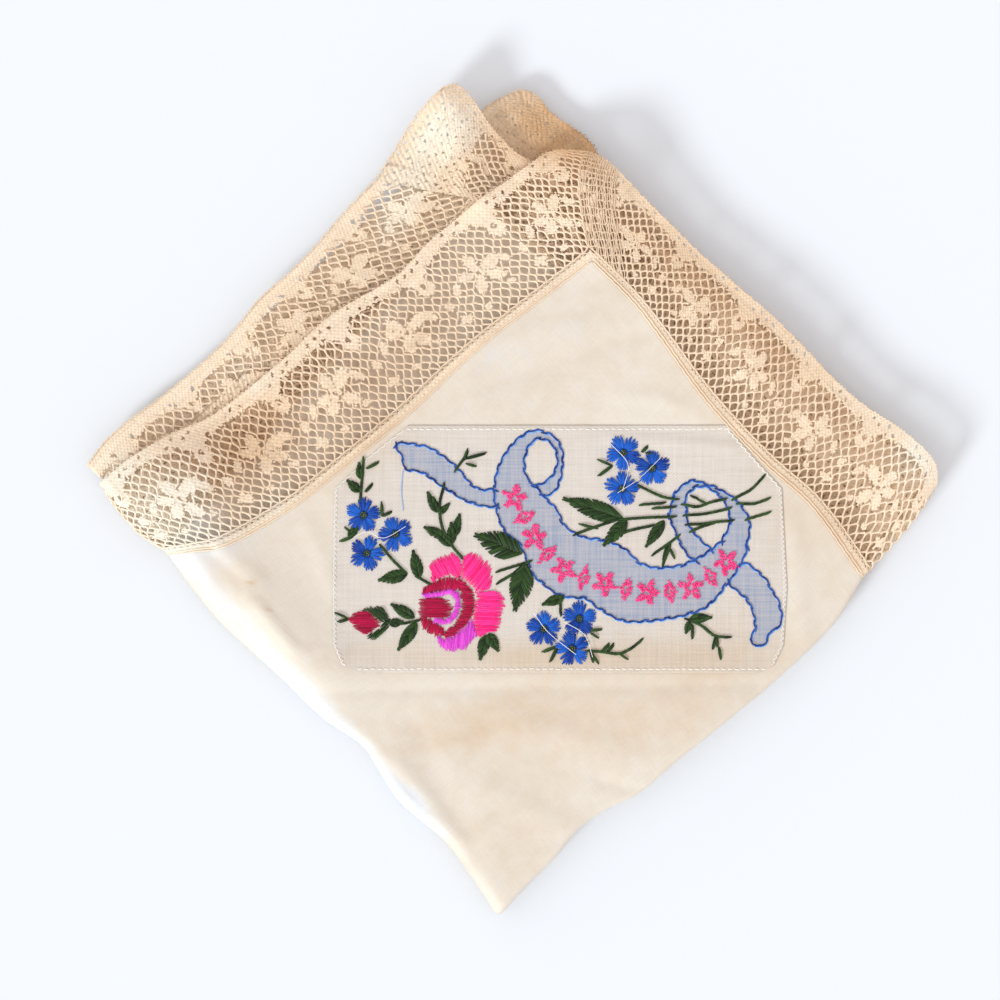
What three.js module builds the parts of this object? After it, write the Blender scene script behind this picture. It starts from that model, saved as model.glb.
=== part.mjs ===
// Lace-edged silk handkerchief, folded in quarters and lying flat as a diamond.
// Millimetres, +Z up, the table at z = 0, the closed corner of the folds at -Y.
import * as THREE from "three";

// Cloth
const clothThickness = 1;
const layerStep = 2;
const seamGap = 0.6;

// The flat square: a silk ground with lace sewn round it
const silkHalf = 110;
const laceWidth = 24;
const laceHalf = silkHalf + seamGap + laceWidth;

// The embroidered panel lies on the top layer
const panelThickness = 1;
const panelClearance = 0.56;
const panelStep = 7.6;
const panelColumns = 14;

// Grid of the folded cloth
const coarseStep = 9.2;
const laceSteps = 3;
const firstFoldLines = [0, 0.8, 1.6, 4.6];
const secondFoldLines = [0, 0.8, 1.6, 3.1, 4.7];
const normalReach = 0.02;

// The first fold shuts the square along p = 0, the second along q = 0.
// Layers, from the top: panel side (p > 0, q > 0), second (p < 0, q > 0),
// third (p < 0, q < 0) and bottom (p > 0, q < 0).
const firstRadius = layerStep / 2;
const outerRadius = 1.5 * layerStep;

// Plan of the folded edges and of each layer, in mm from the middle of the footprint
const closedCorner = { x: -3.1, y: -94.5 };

const firstFoldSilk = [
  closedCorner,
  { x: 3.3, y: -87.2 },
  { x: 9.4, y: -81.3 },
  { x: 14.9, y: -74.6 },
  { x: 21, y: -70.2 },
  { x: 28.6, y: -66.4 },
  { x: 38.3, y: -58.2 },
  { x: 48.8, y: -49.8 },
  { x: 60.2, y: -40.3 },
  { x: 72.9, y: -28 },
  { x: 79.8, y: -17 },
];
const firstFoldLace = [
  { x: 79.8, y: -17 },
  { x: 86.2, y: -10.2 },
  { x: 91.8, y: -3.4 },
  { x: 96.6, y: 3.4 },
];
const secondFoldSilk = [
  closedCorner,
  { x: -6.7, y: -88.8 },
  { x: -14.7, y: -77.8 },
  { x: -25.4, y: -68.3 },
  { x: -29.9, y: -61.5 },
  { x: -33.6, y: -55.9 },
  { x: -43.1, y: -49.2 },
  { x: -51.6, y: -41 },
  { x: -66.3, y: -27.4 },
  { x: -73.2, y: -19 },
  { x: -78.2, y: -11.8 },
];
const secondFoldLaceOuter = [
  { x: -78.2, y: -11.8 },
  { x: -85, y: -6.9 },
  { x: -88.2, y: -3.4 },
  { x: -94.6, y: 3 },
];
const secondFoldLaceInner = [
  { x: -78.2, y: -11.8 },
  { x: -85, y: -6.9 },
  { x: -92.3, y: 0.7 },
  { x: -97.8, y: 6.6 },
];

// Curves of each layer. A seam runs from a fold to the silk's corner, an edge from a fold
// to the point that faces that corner, and the lace's own corner closes the outline.
const panelLayer = {
  seamLeft: [
    { x: -78.2, y: -11.8 },
    { x: -70.9, y: -11.2 },
    { x: -64, y: -9.8 },
    { x: -49, y: -0.9 },
    { x: -40.9, y: 5.5 },
    { x: -23.3, y: 20 },
    { x: -8.8, y: 33.7 },
    { x: 6.5, y: 45.7 },
    { x: 18.3, y: 54.9 },
  ],
  seamRight: [
    { x: 79.8, y: -17 },
    { x: 68.4, y: -1.1 },
    { x: 57.2, y: 9.1 },
    { x: 44.3, y: 23 },
    { x: 29.2, y: 43.7 },
    { x: 18.3, y: 54.9 },
  ],
  edgeLeft: [
    { x: -94.6, y: 3 },
    { x: -87, y: 9.6 },
    { x: -77.5, y: 15.3 },
    { x: -67.9, y: 19.6 },
    { x: -52, y: 32 },
    { x: -41.3, y: 42 },
    { x: -26.5, y: 51 },
    { x: -18.5, y: 59.2 },
    { x: -9, y: 66.6 },
    { x: -2.6, y: 71.5 },
  ],
  cornerLeft: [
    { x: -2.6, y: 71.5 },
    { x: 3.3, y: 75.6 },
    { x: 9.2, y: 79 },
    { x: 17.4, y: 78.6 },
  ],
  edgeRight: [
    { x: 96.6, y: 3.4 },
    { x: 96, y: 8.6 },
    { x: 90.4, y: 14.6 },
    { x: 77, y: 24 },
    { x: 61, y: 40 },
    { x: 43, y: 55.8 },
    { x: 34.2, y: 64.4 },
    { x: 29.2, y: 69.2 },
  ],
  cornerRight: [
    { x: 29.2, y: 69.2 },
    { x: 25.8, y: 72.8 },
    { x: 20.8, y: 77.2 },
    { x: 17.4, y: 78.6 },
  ],
  foldLace: secondFoldLaceOuter,
};
const secondLayer = {
  seamLeft: [
    { x: -78.2, y: -11.8 },
    { x: -62, y: 8 },
    { x: -32, y: 40 },
    { x: -7.6, y: 68.1 },
  ],
  seamRight: [
    { x: 79.8, y: -17 },
    { x: 36, y: 30 },
    { x: -7.6, y: 68.1 },
  ],
  edgeLeft: [
    { x: -97.8, y: 6.6 },
    { x: -91.4, y: 14.8 },
    { x: -76.6, y: 26.2 },
    { x: -65.2, y: 36.4 },
    { x: -57.7, y: 45.5 },
    { x: -48.1, y: 54.2 },
    { x: -36.8, y: 67.1 },
    { x: -31.1, y: 72.8 },
  ],
  cornerLeft: [
    { x: -31.1, y: 72.8 },
    { x: -23.1, y: 85.4 },
    { x: -18.4, y: 91 },
    { x: -15.4, y: 93.6 },
  ],
  edgeRight: [
    { x: 96.6, y: 3.4 },
    { x: 76, y: 21 },
    { x: 40, y: 54 },
    { x: 0.1, y: 79.7 },
  ],
  cornerRight: [
    { x: 0.1, y: 79.7 },
    { x: -4.9, y: 85.4 },
    { x: -8.3, y: 90.6 },
    { x: -12.2, y: 94.2 },
    { x: -15.4, y: 93.6 },
  ],
  foldLace: secondFoldLaceInner,
};
const thirdLayer = {
  seamLeft: [
    { x: -78.2, y: -11.8 },
    { x: -50, y: 14 },
    { x: 6, y: 64 },
  ],
  seamRight: [
    { x: 79.8, y: -17 },
    { x: 42, y: 26 },
    { x: 6, y: 64 },
  ],
  edgeLeft: [
    { x: -97.8, y: 6.6 },
    { x: -74, y: 24 },
    { x: -54, y: 44 },
    { x: -16.3, y: 79.7 },
  ],
  cornerLeft: [
    { x: -16.3, y: 79.7 },
    { x: -6, y: 89.6 },
    { x: -2.6, y: 91.7 },
    { x: 1.9, y: 93.8 },
  ],
  edgeRight: [
    { x: 96.6, y: 3.4 },
    { x: 88, y: 14 },
    { x: 60, y: 38 },
    { x: 20.6, y: 76.9 },
  ],
  cornerRight: [
    { x: 20.6, y: 76.9 },
    { x: 17.8, y: 82 },
    { x: 8.8, y: 88.8 },
    { x: 5.6, y: 92.6 },
    { x: 1.9, y: 93.8 },
  ],
  foldLace: secondFoldLaceInner,
};
const bottomLayer = {
  seamLeft: [
    { x: -78.2, y: -11.8 },
    { x: -46, y: 4 },
    { x: 16, y: 52 },
  ],
  seamRight: [
    { x: 79.8, y: -17 },
    { x: 44, y: 22 },
    { x: 16, y: 52 },
  ],
  edgeLeft: [
    { x: -94.6, y: 3 },
    { x: -64, y: 22 },
    { x: -5, y: 67 },
  ],
  cornerLeft: [
    { x: -5, y: 67 },
    { x: 15, y: 75 },
  ],
  edgeRight: [
    { x: 96.6, y: 3.4 },
    { x: 62, y: 34 },
    { x: 33, y: 58 },
  ],
  cornerRight: [
    { x: 33, y: 58 },
    { x: 15, y: 75 },
  ],
  foldLace: secondFoldLaceOuter,
};

// Where the loose layers stand above a tight stack, in mm at the top layer
const rises = [
  { x: 62, y: 40, reachX: 34, reachY: 26, height: 2.2 },
  { x: 92, y: 6, reachX: 16, reachY: 16, height: 1.6 },
  { x: 22, y: 74, reachX: 24, reachY: 14, height: 2.6 },
  { x: -14, y: 92, reachX: 13, reachY: 13, height: 6.5 },
  { x: -82, y: 2, reachX: 14, reachY: 12, height: 2.2 },
  { x: -66, y: 17, reachX: 14, reachY: 8, height: -1.8 },
  { x: 40, y: -48, reachX: 26, reachY: 16, height: 1.1 },
  { x: -52, y: 44, reachX: 16, reachY: 18, height: 1.3 },
];

// Pleats in the lace, a tuck in the silk and the soft roll of the second fold,
// each a ridge or a slope between two points
const ridges = [
  { fromX: -80, fromY: -14, toX: -46, toY: -48, reach: 5, height: -1.4 },
  { fromX: -67, fromY: -10, toX: -43, toY: -38, reach: 8, height: 1.5 },
  { fromX: -9, fromY: 70, toX: -15, toY: 90, reach: 5, height: 2.4 },
  { fromX: 17.8, fromY: 58, toX: 17.6, toY: 76, reach: 5, height: 1 },
  { fromX: -58, fromY: -23, toX: -49, toY: -34, reach: 4, height: 0.9 },
];

// Outline of the panel, from its lower edge to its upper one
const panelOutline = [
  { y: -39.2, left: -33, right: 56 },
  { y: -37.4, left: -38.4, right: 59.6 },
  { y: -33, left: -40.4, right: 61.8 },
  { y: -20, left: -40.6, right: 62.6 },
  { y: 2.6, left: -40.2, right: 61.4 },
  { y: 9.4, left: -33, right: 55.2 },
  { y: 17, left: -23.4, right: 48.6 },
];

const silkColour = 0xf0e4d2;
const laceColour = 0xf5dcbe;
const panelColour = 0xf6f1ea;
const silkRoughness = 0.5;
const laceRoughness = 0.8;
const panelRoughness = 0.85;

function mix(a, b, share) {
  return a + (b - a) * share;
}

function mixPoints(a, b, share) {
  return { x: mix(a.x, b.x, share), y: mix(a.y, b.y, share) };
}

// A smooth curve through hand-set points, by its share of their length
function curveThrough(points) {
  const lengths = [0];
  for (let i = 1; i < points.length; i += 1) {
    const step = Math.hypot(points[i].x - points[i - 1].x, points[i].y - points[i - 1].y);
    lengths.push(lengths[i - 1] + step);
  }
  const last = points.length - 1;
  const slopes = points.map((point, i) => {
    const before = Math.max(i - 1, 0);
    const after = Math.min(i + 1, last);
    const span = lengths[after] - lengths[before];
    return {
      x: (points[after].x - points[before].x) / span,
      y: (points[after].y - points[before].y) / span,
    };
  });
  return (share) => {
    const at = Math.min(Math.max(share, 0), 1) * lengths[last];
    let i = 0;
    while (i < last - 1 && at > lengths[i + 1]) {
      i += 1;
    }
    const span = lengths[i + 1] - lengths[i];
    const u = (at - lengths[i]) / span;
    const startWeight = (1 + 2 * u) * (1 - u) * (1 - u);
    const endWeight = u * u * (3 - 2 * u);
    const startSlope = u * (1 - u) * (1 - u) * span;
    const endSlope = u * u * (u - 1) * span;
    const place = (axis) =>
      startWeight * points[i][axis] +
      endWeight * points[i + 1][axis] +
      startSlope * slopes[i][axis] +
      endSlope * slopes[i + 1][axis];
    return { x: place("x"), y: place("y") };
  };
}

const firstFoldSilkCurve = curveThrough(firstFoldSilk);
const firstFoldLaceCurve = curveThrough(firstFoldLace);
const secondFoldSilkCurve = curveThrough(secondFoldSilk);

// A patch between two opposite curves, bent at its sides by how they leave a straight line
function patch(start, end, sideAt0, sideAt1, along, across) {
  const middle = mixPoints(start(along), end(along), across);
  const straight0 = mixPoints(start(0), end(0), across);
  const straight1 = mixPoints(start(1), end(1), across);
  const side0 = sideAt0(across);
  const side1 = sideAt1(across);
  const bend = (axis) =>
    (1 - along) * (side0[axis] - straight0[axis]) + along * (side1[axis] - straight1[axis]);
  return { x: middle.x + bend("x"), y: middle.y + bend("y") };
}

// Plan of one layer. a and b are 0 at the folds, 1 at the seams and 2 at the lace's edge.
function layerPlan(layer) {
  const seamLeft = curveThrough(layer.seamLeft);
  const seamRight = curveThrough(layer.seamRight);
  const edgeLeft = curveThrough(layer.edgeLeft);
  const edgeRight = curveThrough(layer.edgeRight);
  const cornerLeft = curveThrough(layer.cornerLeft);
  const cornerRight = curveThrough(layer.cornerRight);
  const foldLace = curveThrough(layer.foldLace);
  const silkCorner = seamLeft(1);
  const leftOfCorner = edgeLeft(1);
  const rightOfCorner = edgeRight(1);
  const toLeft = (share) => mixPoints(silkCorner, leftOfCorner, share);
  const toRight = (share) => mixPoints(silkCorner, rightOfCorner, share);
  return (a, b) => {
    if (a <= 1 && b <= 1) {
      return patch(secondFoldSilkCurve, seamRight, firstFoldSilkCurve, seamLeft, a, b);
    }
    if (b <= 1) {
      return patch(seamLeft, edgeLeft, foldLace, toLeft, b, a - 1);
    }
    if (a <= 1) {
      return patch(seamRight, edgeRight, firstFoldLaceCurve, toRight, a, b - 1);
    }
    return patch(toLeft, cornerRight, toRight, cornerLeft, a - 1, b - 1);
  };
}

const panelLayerPlan = layerPlan(panelLayer);
const secondLayerPlan = layerPlan(secondLayer);
const thirdLayerPlan = layerPlan(thirdLayer);
const bottomLayerPlan = layerPlan(bottomLayer);

// A fold of the given radius: how far in from the crease a point lies, and how far round it is
function roundFold(distance, radius) {
  const quarter = (Math.PI / 2) * radius;
  const length = Math.abs(distance);
  if (length >= quarter) {
    return { inward: radius + length - quarter, turn: Math.sign(distance) };
  }
  const angle = distance / radius;
  return { inward: radius * (1 - Math.cos(angle)), turn: Math.sin(angle) };
}

// From a distance across the flat cloth to the layer's own scale of 0, 1 and 2
function layerShare(distance, radius, offset) {
  const length = Math.abs(distance);
  if (length > silkHalf) {
    return 1 + (length - silkHalf) / (laceHalf - silkHalf);
  }
  const inward = offset + roundFold(distance, radius).inward;
  return inward / (offset + roundFold(silkHalf, radius).inward);
}

function distanceToRidge(x, y, ridge) {
  const runX = ridge.toX - ridge.fromX;
  const runY = ridge.toY - ridge.fromY;
  const along = ((x - ridge.fromX) * runX + (y - ridge.fromY) * runY) / (runX * runX + runY * runY);
  const share = Math.min(Math.max(along, 0), 1);
  return Math.hypot(x - mix(ridge.fromX, ridge.toX, share), y - mix(ridge.fromY, ridge.toY, share));
}

function riseAt(x, y) {
  let total = 0;
  for (const rise of rises) {
    const dx = (x - rise.x) / rise.reachX;
    const dy = (y - rise.y) / rise.reachY;
    total += rise.height * Math.exp(-(dx * dx + dy * dy));
  }
  for (const ridge of ridges) {
    const away = distanceToRidge(x, y, ridge) / ridge.reach;
    total += ridge.height * Math.exp(-away * away);
  }
  return total;
}

// Middle of the cloth's thickness for a point (p, q) of the flat square
function foldedPoint(p, q) {
  const first = roundFold(p, firstRadius);
  const secondRadius = layerStep + firstRadius * first.turn;
  const second = roundFold(q, secondRadius);
  const a = layerShare(p, firstRadius, 0);
  const b = layerShare(q, secondRadius, outerRadius - secondRadius);
  const isFront = (1 + first.turn) / 2;
  const isUpper = (1 + second.turn) / 2;
  const upper = mixPoints(secondLayerPlan(a, b), panelLayerPlan(a, b), isFront);
  const lower = mixPoints(thirdLayerPlan(a, b), bottomLayerPlan(a, b), isFront);
  const plan = mixPoints(lower, upper, isUpper);
  const level = (outerRadius + secondRadius * second.turn) / (2 * outerRadius);
  const z = clothThickness / 2 + level * (2 * outerRadius + riseAt(plan.x, plan.y));
  return new THREE.Vector3(plan.x, plan.y, z);
}

function clothNormal(p, q) {
  const alongP = foldedPoint(p + normalReach, q).sub(foldedPoint(p - normalReach, q));
  const alongQ = foldedPoint(p, q + normalReach).sub(foldedPoint(p, q - normalReach));
  return alongQ.cross(alongP).normalize();
}

// Grid lines across the square, close together round a fold and at the seams
function gridLines(foldLines) {
  const last = foldLines[foldLines.length - 1];
  const steps = Math.round((silkHalf - last) / coarseStep);
  const half = [...foldLines];
  for (let i = 1; i <= steps; i += 1) {
    half.push(mix(last, silkHalf, i / steps));
  }
  const mirrored = half.slice(1).reverse().map((line) => -line);
  return [...mirrored, ...half];
}

// The same lines and more, across the seam, for the lace
function laceLines(silkLines) {
  const inner = silkHalf + seamGap;
  const added = [];
  for (let i = 0; i <= laceSteps; i += 1) {
    added.push(inner + (laceWidth * i) / laceSteps);
  }
  const mirrored = [...added].reverse().map((line) => -line);
  return [...mirrored, ...silkLines, ...added];
}

// A closed sheet over the kept cells of a grid: two faces and a rim
function closedSheet(lineCount, rowCount, faces, keepsCell) {
  const positions = [];
  const indices = [];
  const numbers = new Map();
  const vertex = (side, i, j) => {
    const key = `${side} ${i} ${j}`;
    if (!numbers.has(key)) {
      numbers.set(key, positions.length / 3);
      const point = faces[side](i, j);
      positions.push(point.x, point.y, point.z);
    }
    return numbers.get(key);
  };
  const quad = (a, b, c, d) => indices.push(a, b, c, a, c, d);
  const isKept = (i, j) =>
    i >= 0 && j >= 0 && i < lineCount - 1 && j < rowCount - 1 && keepsCell(i, j);
  const rim = (i0, j0, i1, j1) =>
    quad(vertex(0, i0, j0), vertex(1, i0, j0), vertex(1, i1, j1), vertex(0, i1, j1));
  for (let i = 0; i < lineCount - 1; i += 1) {
    for (let j = 0; j < rowCount - 1; j += 1) {
      if (!isKept(i, j)) {
        continue;
      }
      quad(vertex(0, i, j), vertex(0, i + 1, j), vertex(0, i + 1, j + 1), vertex(0, i, j + 1));
      quad(vertex(1, i, j), vertex(1, i, j + 1), vertex(1, i + 1, j + 1), vertex(1, i + 1, j));
      if (!isKept(i, j - 1)) {
        rim(i, j, i + 1, j);
      }
      if (!isKept(i + 1, j)) {
        rim(i + 1, j, i + 1, j + 1);
      }
      if (!isKept(i, j + 1)) {
        rim(i + 1, j + 1, i, j + 1);
      }
      if (!isKept(i - 1, j)) {
        rim(i, j + 1, i, j);
      }
    }
  }
  const geometry = new THREE.BufferGeometry();
  geometry.setAttribute("position", new THREE.Float32BufferAttribute(positions, 3));
  geometry.setIndex(indices);
  geometry.computeVertexNormals();
  return geometry;
}

function foldedCloth(pLines, qLines, keepsCell) {
  const face = (direction) => (i, j) => {
    const p = pLines[i];
    const q = qLines[j];
    const offset = clothNormal(p, q).multiplyScalar((direction * clothThickness) / 2);
    return foldedPoint(p, q).add(offset);
  };
  return closedSheet(pLines.length, qLines.length, [face(-1), face(1)], keepsCell);
}

function namedMesh(name, geometry, colour, roughness) {
  const material = new THREE.MeshStandardMaterial({ color: colour, roughness, metalness: 0 });
  const mesh = new THREE.Mesh(geometry, material);
  mesh.name = name;
  return mesh;
}

const pLines = gridLines(firstFoldLines);
const qLines = gridLines(secondFoldLines);

function silkGround() {
  return namedMesh("silk_ground", foldedCloth(pLines, qLines, () => true), silkColour, silkRoughness);
}

function laceEdging() {
  const p = laceLines(pLines);
  const q = laceLines(qLines);
  const isBeyondSeam = (lines, i) => i < laceSteps || i >= lines.length - 1 - laceSteps;
  const geometry = foldedCloth(p, q, (i, j) => isBeyondSeam(p, i) || isBeyondSeam(q, j));
  return namedMesh("lace_edging", geometry, laceColour, laceRoughness);
}

// Left and right ends of the panel at one height of its outline
function panelRow(y) {
  let i = 0;
  while (i < panelOutline.length - 2 && y > panelOutline[i + 1].y) {
    i += 1;
  }
  const share = (y - panelOutline[i].y) / (panelOutline[i + 1].y - panelOutline[i].y);
  return {
    left: mix(panelOutline[i].left, panelOutline[i + 1].left, share),
    right: mix(panelOutline[i].right, panelOutline[i + 1].right, share),
  };
}

function embroideredPanel() {
  const topLevel = clothThickness + 2 * outerRadius + panelClearance;
  const heights = panelOutline.map((row) => row.y);
  const rows = [];
  for (let i = 0; i < heights.length - 1; i += 1) {
    const steps = Math.ceil((heights[i + 1] - heights[i]) / panelStep);
    for (let k = 0; k < steps; k += 1) {
      rows.push(mix(heights[i], heights[i + 1], k / steps));
    }
  }
  rows.push(heights[heights.length - 1]);
  const face = (height) => (i, j) => {
    const y = rows[j];
    const row = panelRow(y);
    const x = mix(row.left, row.right, i / panelColumns);
    return new THREE.Vector3(x, y, topLevel + riseAt(x, y) + height);
  };
  const faces = [face(panelThickness), face(0)];
  const geometry = closedSheet(panelColumns + 1, rows.length, faces, () => true);
  return namedMesh("embroidered_panel", geometry, panelColour, panelRoughness);
}

const handkerchief = new THREE.Group();
handkerchief.add(silkGround(), laceEdging(), embroideredPanel());

export default handkerchief;
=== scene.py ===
import math

import bpy
import numpy as np
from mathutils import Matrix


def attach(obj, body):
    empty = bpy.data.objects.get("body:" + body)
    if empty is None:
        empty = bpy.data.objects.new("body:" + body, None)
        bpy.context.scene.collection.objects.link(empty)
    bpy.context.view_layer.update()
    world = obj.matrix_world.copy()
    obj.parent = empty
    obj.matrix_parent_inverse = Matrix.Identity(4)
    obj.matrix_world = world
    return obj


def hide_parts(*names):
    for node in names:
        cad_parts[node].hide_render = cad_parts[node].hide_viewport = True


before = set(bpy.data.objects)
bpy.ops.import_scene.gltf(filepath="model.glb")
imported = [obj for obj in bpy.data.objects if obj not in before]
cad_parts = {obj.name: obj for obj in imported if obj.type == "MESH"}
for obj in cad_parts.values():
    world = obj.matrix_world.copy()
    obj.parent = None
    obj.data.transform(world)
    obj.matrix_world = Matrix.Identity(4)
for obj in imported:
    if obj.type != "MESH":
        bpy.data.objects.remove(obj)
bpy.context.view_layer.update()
mm = 0.001

# Lace-edged silk handkerchief, folded in quarters, seen from straight above.
# The cloth is worked out in millimetres as in the part's source, and scaled as each mesh is made.
cloth = {
    "thickness": 1.0, "layerStep": 2.0, "silkHalf": 110.0, "laceHalf": 134.6, "lowest": 0.2,
    "lift": 0.4,  # the thin cloth lies this far above the middle of its solid
}
firstRadius = cloth["layerStep"] / 2
outerRadius = 1.5 * cloth["layerStep"]
silkHalf = cloth["silkHalf"]
laceWidth = cloth["laceHalf"] - silkHalf

closedCorner = (-3.1, -94.5)
firstFoldSilk = [
    closedCorner, (3.3, -87.2), (9.4, -81.3), (14.9, -74.6), (21, -70.2), (28.6, -66.4),
    (38.3, -58.2), (48.8, -49.8), (60.2, -40.3), (72.9, -28), (79.8, -17),
]
firstFoldLace = [(79.8, -17), (86.2, -10.2), (91.8, -3.4), (96.6, 3.4)]
secondFoldSilk = [
    closedCorner, (-6.7, -88.8), (-14.7, -77.8), (-25.4, -68.3), (-29.9, -61.5),
    (-33.6, -55.9), (-43.1, -49.2), (-51.6, -41), (-66.3, -27.4), (-73.2, -19), (-78.2, -11.8),
]
secondFoldLaceOuter = [(-78.2, -11.8), (-85, -6.9), (-88.2, -3.4), (-94.6, 3)]
secondFoldLaceInner = [
    (-78.2, -11.8), (-85, -6.9), (-92.3, 0.7), (-97.8, 6.6),
]
panelLayer = {
    "seamLeft": [
        (-78.2, -11.8), (-70.9, -11.2), (-64, -9.8), (-49, -0.9), (-40.9, 5.5), (-23.3, 20),
        (-8.8, 33.7), (6.5, 45.7), (18.3, 54.9),
    ],
    "seamRight": [(79.8, -17), (68.4, -1.1), (57.2, 9.1), (44.3, 23), (29.2, 43.7), (18.3, 54.9)],
    "edgeLeft": [
        (-94.6, 3), (-87, 9.6), (-77.5, 15.3), (-67.9, 19.6), (-52, 32), (-41.3, 42), (-26.5, 51),
        (-18.5, 59.2), (-9, 66.6), (-2.6, 71.5),
    ],
    "cornerLeft": [(-2.6, 71.5), (3.3, 75.6), (9.2, 79), (17.4, 78.6)],
    "edgeRight": [
        (96.6, 3.4), (96, 8.6), (90.4, 14.6), (77, 24), (61, 40), (43, 55.8), (34.2, 64.4),
        (29.2, 69.2),
    ],
    "cornerRight": [(29.2, 69.2), (25.8, 72.8), (20.8, 77.2), (17.4, 78.6)],
    "foldLace": secondFoldLaceOuter,
}
secondLayer = {
    "seamLeft": [(-78.2, -11.8), (-62, 8), (-32, 40), (-7.6, 68.1)],
    "seamRight": [(79.8, -17), (36, 30), (-7.6, 68.1)],
    "edgeLeft": [
        (-97.8, 6.6), (-91.4, 14.8), (-76.6, 26.2), (-65.2, 36.4), (-57.7, 45.5), (-48.1, 54.2),
        (-36.8, 67.1), (-31.1, 72.8),
    ],
    "cornerLeft": [(-31.1, 72.8), (-23.1, 85.4), (-18.4, 91), (-15.4, 93.6)],
    "edgeRight": [(96.6, 3.4), (76, 21), (40, 54), (0.1, 79.7)],
    "cornerRight": [(0.1, 79.7), (-4.9, 85.4), (-8.3, 90.6), (-12.2, 94.2), (-15.4, 93.6)],
    "foldLace": secondFoldLaceInner,
}
thirdLayer = {
    "seamLeft": [(-78.2, -11.8), (-50, 14), (6, 64)],
    "seamRight": [(79.8, -17), (42, 26), (6, 64)],
    "edgeLeft": [(-97.8, 6.6), (-74, 24), (-54, 44), (-16.3, 79.7)],
    "cornerLeft": [(-16.3, 79.7), (-6, 89.6), (-2.6, 91.7), (1.9, 93.8)],
    "edgeRight": [(96.6, 3.4), (88, 14), (60, 38), (20.6, 76.9)],
    "cornerRight": [(20.6, 76.9), (17.8, 82), (8.8, 88.8), (5.6, 92.6), (1.9, 93.8)],
    "foldLace": secondFoldLaceInner,
}
bottomLayer = {
    "seamLeft": [(-78.2, -11.8), (-46, 4), (16, 52)],
    "seamRight": [(79.8, -17), (44, 22), (16, 52)],
    "edgeLeft": [(-94.6, 3), (-64, 22), (-5, 67)],
    "cornerLeft": [(-5, 67), (15, 75)],
    "edgeRight": [(96.6, 3.4), (62, 34), (33, 58)],
    "cornerRight": [(33, 58), (15, 75)],
    "foldLace": secondFoldLaceOuter,
}

# Where the loose layers stand above a tight stack: x, y, reach in x, reach in y, height
rises = [
    (62, 40, 34, 26, 2.2), (92, 6, 16, 16, 1.6), (22, 74, 24, 14, 2.6), (-14, 92, 13, 13, 6.5),
    (-82, 2, 14, 12, 2.2), (-66, 17, 14, 8, -1.8), (40, -48, 26, 16, 1.1), (-52, 44, 16, 18, 1.3),
]
# Pleats, a tuck and the roll of the second fold: from x, y to x, y, reach, height
ridges = [
    (-80, -14, -46, -48, 5, -1.4), (-67, -10, -43, -38, 8, 1.5), (-9, 70, -15, 90, 5, 2.4),
    (17.8, 58, 17.6, 76, 5, 1), (-58, -23, -49, -34, 4, 0.9),
]
# Small creases that the solids leave out, on the upper layers: from x, y to x, y, reach, height
creases = [
    (-71.5, -12.5, -66.5, -20.5, 1.2, 0.4), (-69.0, -11.0, -62.5, -17.5, 1.2, -0.25),
    (-66.0, -10.6, -57.0, -18.0, 1.4, 0.35), (-57.5, -23.6, -49.6, -33.2, 1.3, 0.45),
    (-56.0, -22.6, -47.6, -32.0, 1.6, -0.2), (-30.0, -61.4, -19.7, -72.8, 0.9, 0.6),
    (-28.4, -60.0, -18.6, -70.6, 1.0, -0.5), (-26.0, -61.0, -12.0, -77.0, 2.4, 0.5),
    (20.0, -63.6, 30.5, -66.6, 1.4, -0.3), (19.0, 16.8, 52.0, 14.2, 1.8, -0.22),
    (22.0, 14.6, 50.0, 12.0, 1.6, 0.25), (-12.0, 34.0, 14.0, 40.0, 3.0, 0.35),
    (-4.0, 26.0, 30.0, 38.0, 2.2, -0.3), (24.0, 24.0, 38.0, 22.0, 1.8, 0.3),
    (-46.0, -6.0, -40.0, -20.0, 2.0, 0.3), (-44.0, -43.6, 60.0, -41.8, 1.4, -0.25),
    (0.0, -50.0, 26.0, -58.0, 4.0, 0.35), (-6.0, -66.0, 12.0, -74.0, 3.0, 0.3),
    (-22.0, -50.0, -8.0, -84.0, 3.4, -0.35), (64.0, -6.0, 66.0, -30.0, 2.4, 0.35),
]


def mix(a, b, share):
    return a + (b - a) * share


def curveThrough(points):
    # A smooth curve through hand-set points, by its share of their length
    knots = np.array(points, dtype=float)
    steps = np.linalg.norm(np.diff(knots, axis=0), axis=1)
    places = np.concatenate([[0.0], np.cumsum(steps)])
    before = np.maximum(np.arange(len(knots)) - 1, 0)
    after = np.minimum(np.arange(len(knots)) + 1, len(knots) - 1)
    slopes = (knots[after] - knots[before]) / (places[after] - places[before])[:, None]

    def at(share):
        along = np.clip(share, 0.0, 1.0) * places[-1]
        i = np.clip(np.searchsorted(places, along, side="left") - 1, 0, len(knots) - 2)
        span = (places[i + 1] - places[i])[..., None]
        u = (along - places[i])[..., None] / span
        ends = (1 + 2 * u) * (1 - u) ** 2 * knots[i] + u * u * (3 - 2 * u) * knots[i + 1]
        return ends + span * (u * (1 - u) ** 2 * slopes[i] + u * u * (u - 1) * slopes[i + 1])

    return at


def patch(start, end, sideAt0, sideAt1, along, across):
    # Between two opposite curves, bent at its sides by how they leave a straight line
    zero, one = np.zeros_like(along), np.ones_like(along)
    across2, along2 = across[..., None], along[..., None]
    middle = mix(start(along), end(along), across2)
    straight0 = mix(start(zero), end(zero), across2)
    straight1 = mix(start(one), end(one), across2)
    return middle + (1 - along2) * (sideAt0(across) - straight0) + along2 * (sideAt1(across) - straight1)


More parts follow.
